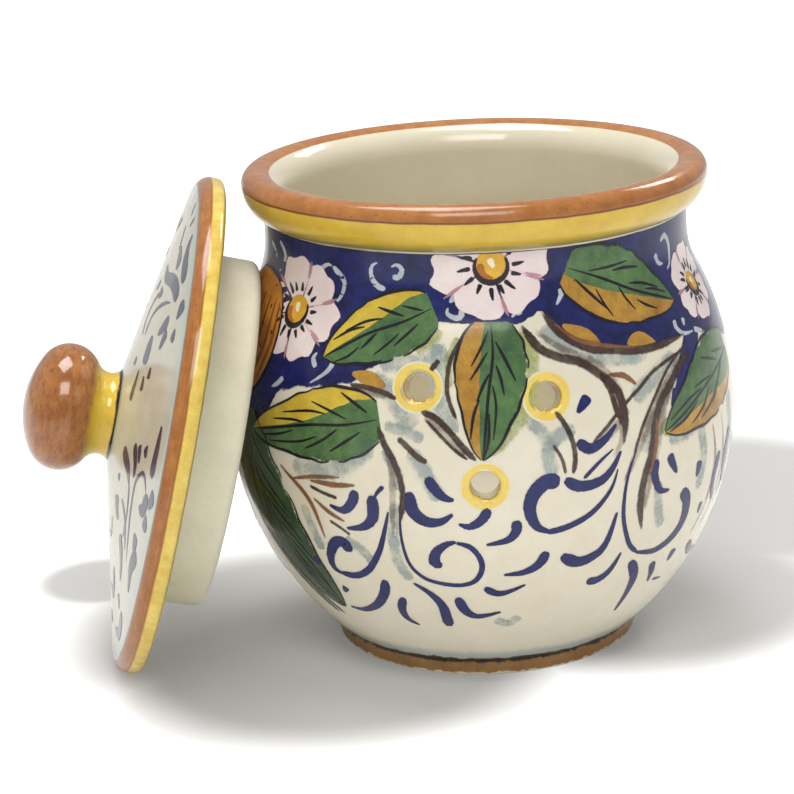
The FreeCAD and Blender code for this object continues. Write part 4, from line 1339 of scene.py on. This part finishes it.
# %% The lid's strokes
STEMS = [
    [(52.4, 58), (48.1, 67), (45.6, 74.5), (45, 84.5), (50, 90), (54, 89.4), (57, 86.5)],
    [(34.9, 67), (41.8, 65.7), (48.7, 58.7)], [(38.7, 80), (41, 75), (43, 68), (44, 58)],
    [(28.4, 161), (29.2, 167), (31.5, 171.6), (35.2, 172), (38.4, 169.6), (41, 167)],
    [(30.8, 155), (32.3, 158.4), (35.2, 159.9), (39, 157.8), (44.4, 152.6), (51.8, 145)],
    [(54.8, 167), (59.7, 174)],
    [(62.7, 166.6), (66.3, 165.4)], [(63.2, 171.8), (66.8, 173.6)],
    [(30, 40), (34, 30), (32, 20)],
]
LID_DABS = [
    ([(27, 87), (34.5, 83.8), (38.7, 79)], 1.7), ([(37.4, 95.8), (41.5, 89.5), (42, 84)], 1.5),
    ([(42.7, 97.2), (44.7, 91)], 1.4), ([(49, 98.2), (50.6, 95)], 1.5),
    ([(27, 71), (28.6, 68)], 1.0), ([(59, 92), (59.9, 99), (60.8, 105.6)], 1.9),
    ([(57.9, 87), (58.2, 84.6), (57.3, 82.3), (55.4, 81), (53, 80.8)], 2.0),
    ([(64.7, 89.3), (61.7, 85)], 1.9), ([(59.9, 81), (64, 79.5)], 1.8),
    ([(55.7, 72.8), (56.4, 67.6)], 1.9), ([(60.3, 69.5), (57.4, 63), (60.5, 56)], 2.0),
    ([(29.8, 59.8), (31.9, 55.3), (36, 54.6)], 1.8), ([(41, 55), (47, 52), (51.5, 46)], 1.7),
    ([(53, 40.2), (57.3, 39.8)], 1.3), ([(60, 44), (63, 36), (60, 28)], 1.7),
    ([(44, 34), (50, 26), (47, 18)], 1.5), ([(56, 18), (58, 9)], 1.5),
    ([(24.5, 117.6), (29.2, 133.5)], 1.3), ([(34.4, 119), (35.1, 126)], 1.2),
    ([(39.6, 122.6), (40.8, 127)], 1.2), ([(23.4, 145), (25.3, 149)], 1.0),
    ([(33.4, 133), (36.1, 140), (38, 144)], 2.3), ([(41, 167), (42.9, 161)], 1.4),
    ([(52, 138.3), (43.2, 139.5)], 1.7), ([(51.5, 134.8), (46.2, 131.3)], 1.6),
    ([(57.3, 131.4), (58.7, 128)], 1.5), ([(61.9, 134), (61.9, 138.4)], 2.5),
    ([(57.1, 142), (53.9, 150), (46.1, 166.5), (46.3, 177)], 1.7),
    ([(61.7, 144.5), (60.9, 150), (61.2, 154.8), (62.9, 157.6), (65.4, 158.6)], 1.9),
    ([(54.9, 157), (55.5, 161.4), (56.2, 166.6)], 1.5), ([(41.5, 176.6), (38, 180.8)], 1.0),
]


def draw_lid():
    """The same sprays on each half of the cone, the second turned half round."""
    for turn in TURNS:
        for stem in STEMS:
            brush(LID, "lid_ink", [(radius, turn + a) for radius, a in stem], even(0.72, 0.2), 0.085)
        for points, width in LID_DABS:
            path = [(radius, turn + a) for radius, a in points]
            brush(LID, "lid_ink", path, comma(BRUSH_SPREAD * width, 0.2), 0.09)


draw_lid()
print("paint", paint_faces())

# %% [markdown]
# ## Paint
# Every paint is the same recipe: a mottled colour, cut to the shape of the brush mark by its
# cover, darker where the load pooled, over the same glaze skin as the ground.


# %% Paint materials
PAINT_COAT = 0.15
PAINT_IOR = 1.42


def paint(name, light, dark, grain=300.0, contrast=2.2, ragged=0.3, soft=0.16, dry=0.0,
          strength=1.0, edge=None, patchy=0.0):
    """A paint whose sheet carries its own UV."""
    material = bpy.data.materials.new(name)
    material.use_nodes = True
    tree = material.node_tree
    place = put(tree, "TexCoord").outputs["Object"]
    uv = put(tree, "UVMap", uv_map="UVMap").outputs[0]
    marks = use(tree, BRUSH, Coordinates=place, UV=uv, Ragged=ragged, Soft=soft, Dry=dry)
    colour = mottled(tree, place, rgb(light), rgb(dark), grain, contrast)
    load = ease(tree, marks["Load"], 0.45, 0.85, 0.0, 0.45)
    colour = mix(tree, load, colour, rgb(edge or dark))
    patches = ease(tree, cloud(tree, place, 170.0, 4.0, 0.65), 0.36, 0.62, 1.0 - patchy, 1.0)
    cover = calc(tree, "MULTIPLY", marks["Cover"], calc(tree, "MULTIPLY", patches, strength))
    channels = {"Base Color": colour, "Alpha": cover, "Roughness": gloss_of(tree, place)}
    under_glaze(tree, place, channels, PAINT_COAT, PAINT_IOR)
    return material


PAINTS = {
    "cobalt_ground": paint("cobalt ground", "252D74", "10133A", 340.0, 3.4, 0.05, 0.02),
    "cobalt": paint("cobalt", "28306F", "141A4C", 420.0, 2.6, 0.34, 0.16, 0.06, 0.98),
    "lid_ink": paint("lid ink", "2C2E58", "17183A", 420.0, 2.6, 0.3, 0.16, 0.06, 0.98),
    "leaf_green": paint("leaf green", "658851", "375739", 300.0, 3.2, 0.16, 0.08),
    "leaf_dark": paint("dark leaf", "4A6B45", "2C3F30", 200.0, 2.6, 0.3, 0.2),
    "leaf_yellow": paint("leaf yellow", "E6CB4A", "BE9E38", 260.0, 3.0, 0.16, 0.08),
    "leaf_ochre": paint("leaf ochre", "CFA044", "94692A", 260.0, 3.4, 0.16, 0.08),
    "petal": paint("petal", "F4EAE6", "E6D0CF", 160.0, 2.4, 0.12, 0.08, 0.0, 1.0, "CC8F9E"),
    "pink_edge": paint("petal line", "D9A6B0", "BC8A98", 300.0, 2.0, 0.5, 0.6, 0.2, 0.65),
    "ink": paint("ink", "26242C", "131218", 500.0, 2.0, 0.42, 0.3, 0.06, 0.96),
    "heart": paint("flower heart", "EBC040", "CC8A22", 260.0, 2.6, 0.15, 0.1),
    "orange_dab": paint("orange dab", "C97F2A", "A45A1E", 300.0, 2.0, 0.4, 0.4, 0.0, 0.9),
    "white_dab": paint("white dab", "FBF3D8", "F0E2B0", 300.0, 2.0, 0.4, 0.3),
    "white_curl": paint("white curl", "D6DADA", "A3B0BC", 400.0, 2.8, 0.5, 0.3, 0.12, 0.94),
    "fruit": paint("fruit", "D89A42", "AC6A2C", 200.0, 3.0, 0.1, 0.08),
    "fruit_streak": paint("fruit streak", "A8622A", "8A4A20", 300.0, 2.0, 0.6, 0.6, 0.3, 0.7),
    "twig": paint("twig", "5E4840", "2B2120", 420.0, 3.0, 0.6, 0.4, 0.10, 0.96, None, 0.25),
    "twig_wash": paint("twig wash", "988478", "6A584E", 300.0, 3.0, 0.7, 0.6, 0.12, 0.55, None,
                       0.6),
    "rust_twig": paint("rust twig", "A3704A", "6C442A", 420.0, 2.6, 0.6, 0.4, 0.16, 0.85),
    "wash": paint("wash", "B4C4C2", "8CA0A2", 200.0, 3.0, 0.6, 0.6, 0.0, 0.62, None, 0.65),
    "halo": paint("halo", "BCC366", "8DA45A", 200.0, 3.0, 0.5, 0.6, 0.0, 0.7, None, 0.5),
}

# %% Lay the paint
for (body, colour), (chart, bm) in LAYERS.items():
    if chart is JAR:
        bmesh.ops.bisect_plane(bm, geom=bm.verts[:] + bm.edges[:] + bm.faces[:], dist=0.0001,
                               plane_co=(0, 0, BAND_TOP), plane_no=(0, 0, 1), clear_outer=True)
    else:
        bmesh.ops.reverse_faces(bm, faces=bm.faces)
    finish_piece(bm, body + "_paint_" + colour, PAINTS[colour], chart.body, chart.slot, None,
                 chart.shape)

# %% [markdown]
# ## Setting
# The keeper stands on a pale sheet under a large soft window light from the front and above, a
# broad one overhead, and a smaller one from behind on the right that gives the glaze its bright
# spots.  The sheet glows to plain white, except in soft circles of painted shadow where the
# keeper's shadows fall: there the bare sheet stays grey and the cast shadows darken it further.
# These are placed for the keeper at rest and don't follow the lid when it moves.

# %% Floor
FLOOR_SIZE = 8.0
# The paper's colour for light rays and, darker, for the camera; with LEAST_GLOW it sets the grey of the
# painted shadow.
PAPER, PAPER_SEEN = (0.90, 0.895, 0.88, 1.0), (0.45, 0.443, 0.428, 1.0)
LEAST_GLOW = 0.13
FADE_FROM, FADE_TO = 0.66, 1.14
# Painted shadow: soft circles (centre, reach in metres) where the floor's white glow is held back.
PAINTED_SHADOWS = [((-0.060, 0.0, 0.0), 0.074), ((-0.045, -0.028, 0.0), 0.070), ((0.045, 0.02, 0.0), 0.072),
           ((0.075, 0.105, 0.0), 0.084), ((-0.120, 0.042, 0.0), 0.024)]


def floor_material():
    """Pale paper that glows plain white for the camera, and stays grey in the painted shadow circles."""
    material = bpy.data.materials.new("paper")
    material.use_nodes = True
    tree = material.node_tree
    surface = tree.nodes["Principled BSDF"]
    surface.inputs["Roughness"].default_value = 0.7
    surface.inputs["Specular IOR Level"].default_value = 0.2
    place = put(tree, "TexCoord").outputs["Object"]
    glow = 1.0
    for centre, reach in PAINTED_SHADOWS:
        far = put(tree, "VectorMath", {0: place, 1: centre}, operation="DISTANCE")
        white = ease(tree, far.outputs["Value"], FADE_FROM * reach, FADE_TO * reach,
                     LEAST_GLOW, 1.0)
        glow = calc(tree, "MINIMUM", glow, white)
    camera = put(tree, "LightPath").outputs["Is Camera Ray"]
    paper = mix(tree, camera, PAPER, PAPER_SEEN)
    tree.links.new(paper, surface.inputs["Base Color"])
    tree.links.new(calc(tree, "MULTIPLY", glow, camera), surface.inputs["Emission Strength"])
    surface.inputs["Emission Color"].default_value = (1.0, 1.0, 1.0, 1.0)
    return material


sheet_bm = bmesh.new()
bmesh.ops.create_grid(sheet_bm, x_segments=1, y_segments=1, size=FLOOR_SIZE / 2)
floor_mesh = bpy.data.meshes.new("floor")
sheet_bm.to_mesh(floor_mesh)
sheet_bm.free()
floor_mesh.materials.append(floor_material())
floor = bpy.data.objects.new("floor", floor_mesh)
bpy.context.scene.collection.objects.link(floor)

# %% World
world = bpy.data.worlds.new("studio")
world.use_nodes = True
bpy.context.scene.world = world
tree = world.node_tree
path = put(tree, "LightPath")
seen = calc(tree, "MAXIMUM", path.outputs["Is Camera Ray"], path.outputs["Is Transmission Ray"])
background = tree.nodes["Background"]
background.inputs["Color"].default_value = (1.0, 1.0, 1.0, 1.0)
strength = ease(tree, seen, 0.0, 1.0, 0.44, 1.0)
tree.links.new(strength, background.inputs["Strength"])

# %% Lights
TARGET = Vector((-0.02, 0.0, 0.07))


def area_light(name, place, width, height, power, colour=(1, 1, 1)):
    """A soft box that faces the keeper."""
    light = bpy.data.lights.new(name, "AREA")
    light.shape = "RECTANGLE"
    light.size, light.size_y, light.energy, light.color = width, height, power, colour
    lamp = bpy.data.objects.new(name, light)
    lamp.location = place
    lamp.rotation_euler = (TARGET - Vector(place)).to_track_quat("-Z", "Y").to_euler()
    bpy.context.scene.collection.objects.link(lamp)


area_light("window", (-0.05, -1.1, 1.4), 0.9, 0.7, 11.5)
area_light("back_right", (0.75, 1.05, 1.1), 0.45, 0.35, 5.0)
area_light("overhead", (-0.22, 0.25, 1.6), 0.8, 0.8, 15.0)

# %% Camera
CAMERA_PLACE = Vector((-0.00565, -0.72521, 0.28491))
CAMERA_YAW, CAMERA_PITCH, CAMERA_ROLL = -0.025733, 0.288180, -0.039647
LENS, SENSOR = 117.55, 36.0

forward = Vector((math.sin(CAMERA_YAW) * math.cos(CAMERA_PITCH),
                  math.cos(CAMERA_YAW) * math.cos(CAMERA_PITCH), -math.sin(CAMERA_PITCH)))
level = Vector((math.cos(CAMERA_YAW), -math.sin(CAMERA_YAW), 0))
upward = level.cross(forward)
right = level * math.cos(CAMERA_ROLL) + upward * math.sin(CAMERA_ROLL)
above = upward * math.cos(CAMERA_ROLL) - level * math.sin(CAMERA_ROLL)
turn = Matrix((right, above, -forward)).transposed().to_4x4()
camera_data = bpy.data.cameras.new("camera")
camera_data.lens, camera_data.sensor_width = LENS, SENSOR
camera = bpy.data.objects.new("camera", camera_data)
camera.matrix_world = Matrix.Translation(CAMERA_PLACE) @ turn
bpy.context.scene.collection.objects.link(camera)
bpy.context.scene.camera = camera
bpy.context.scene.view_settings.view_transform = "Standard"
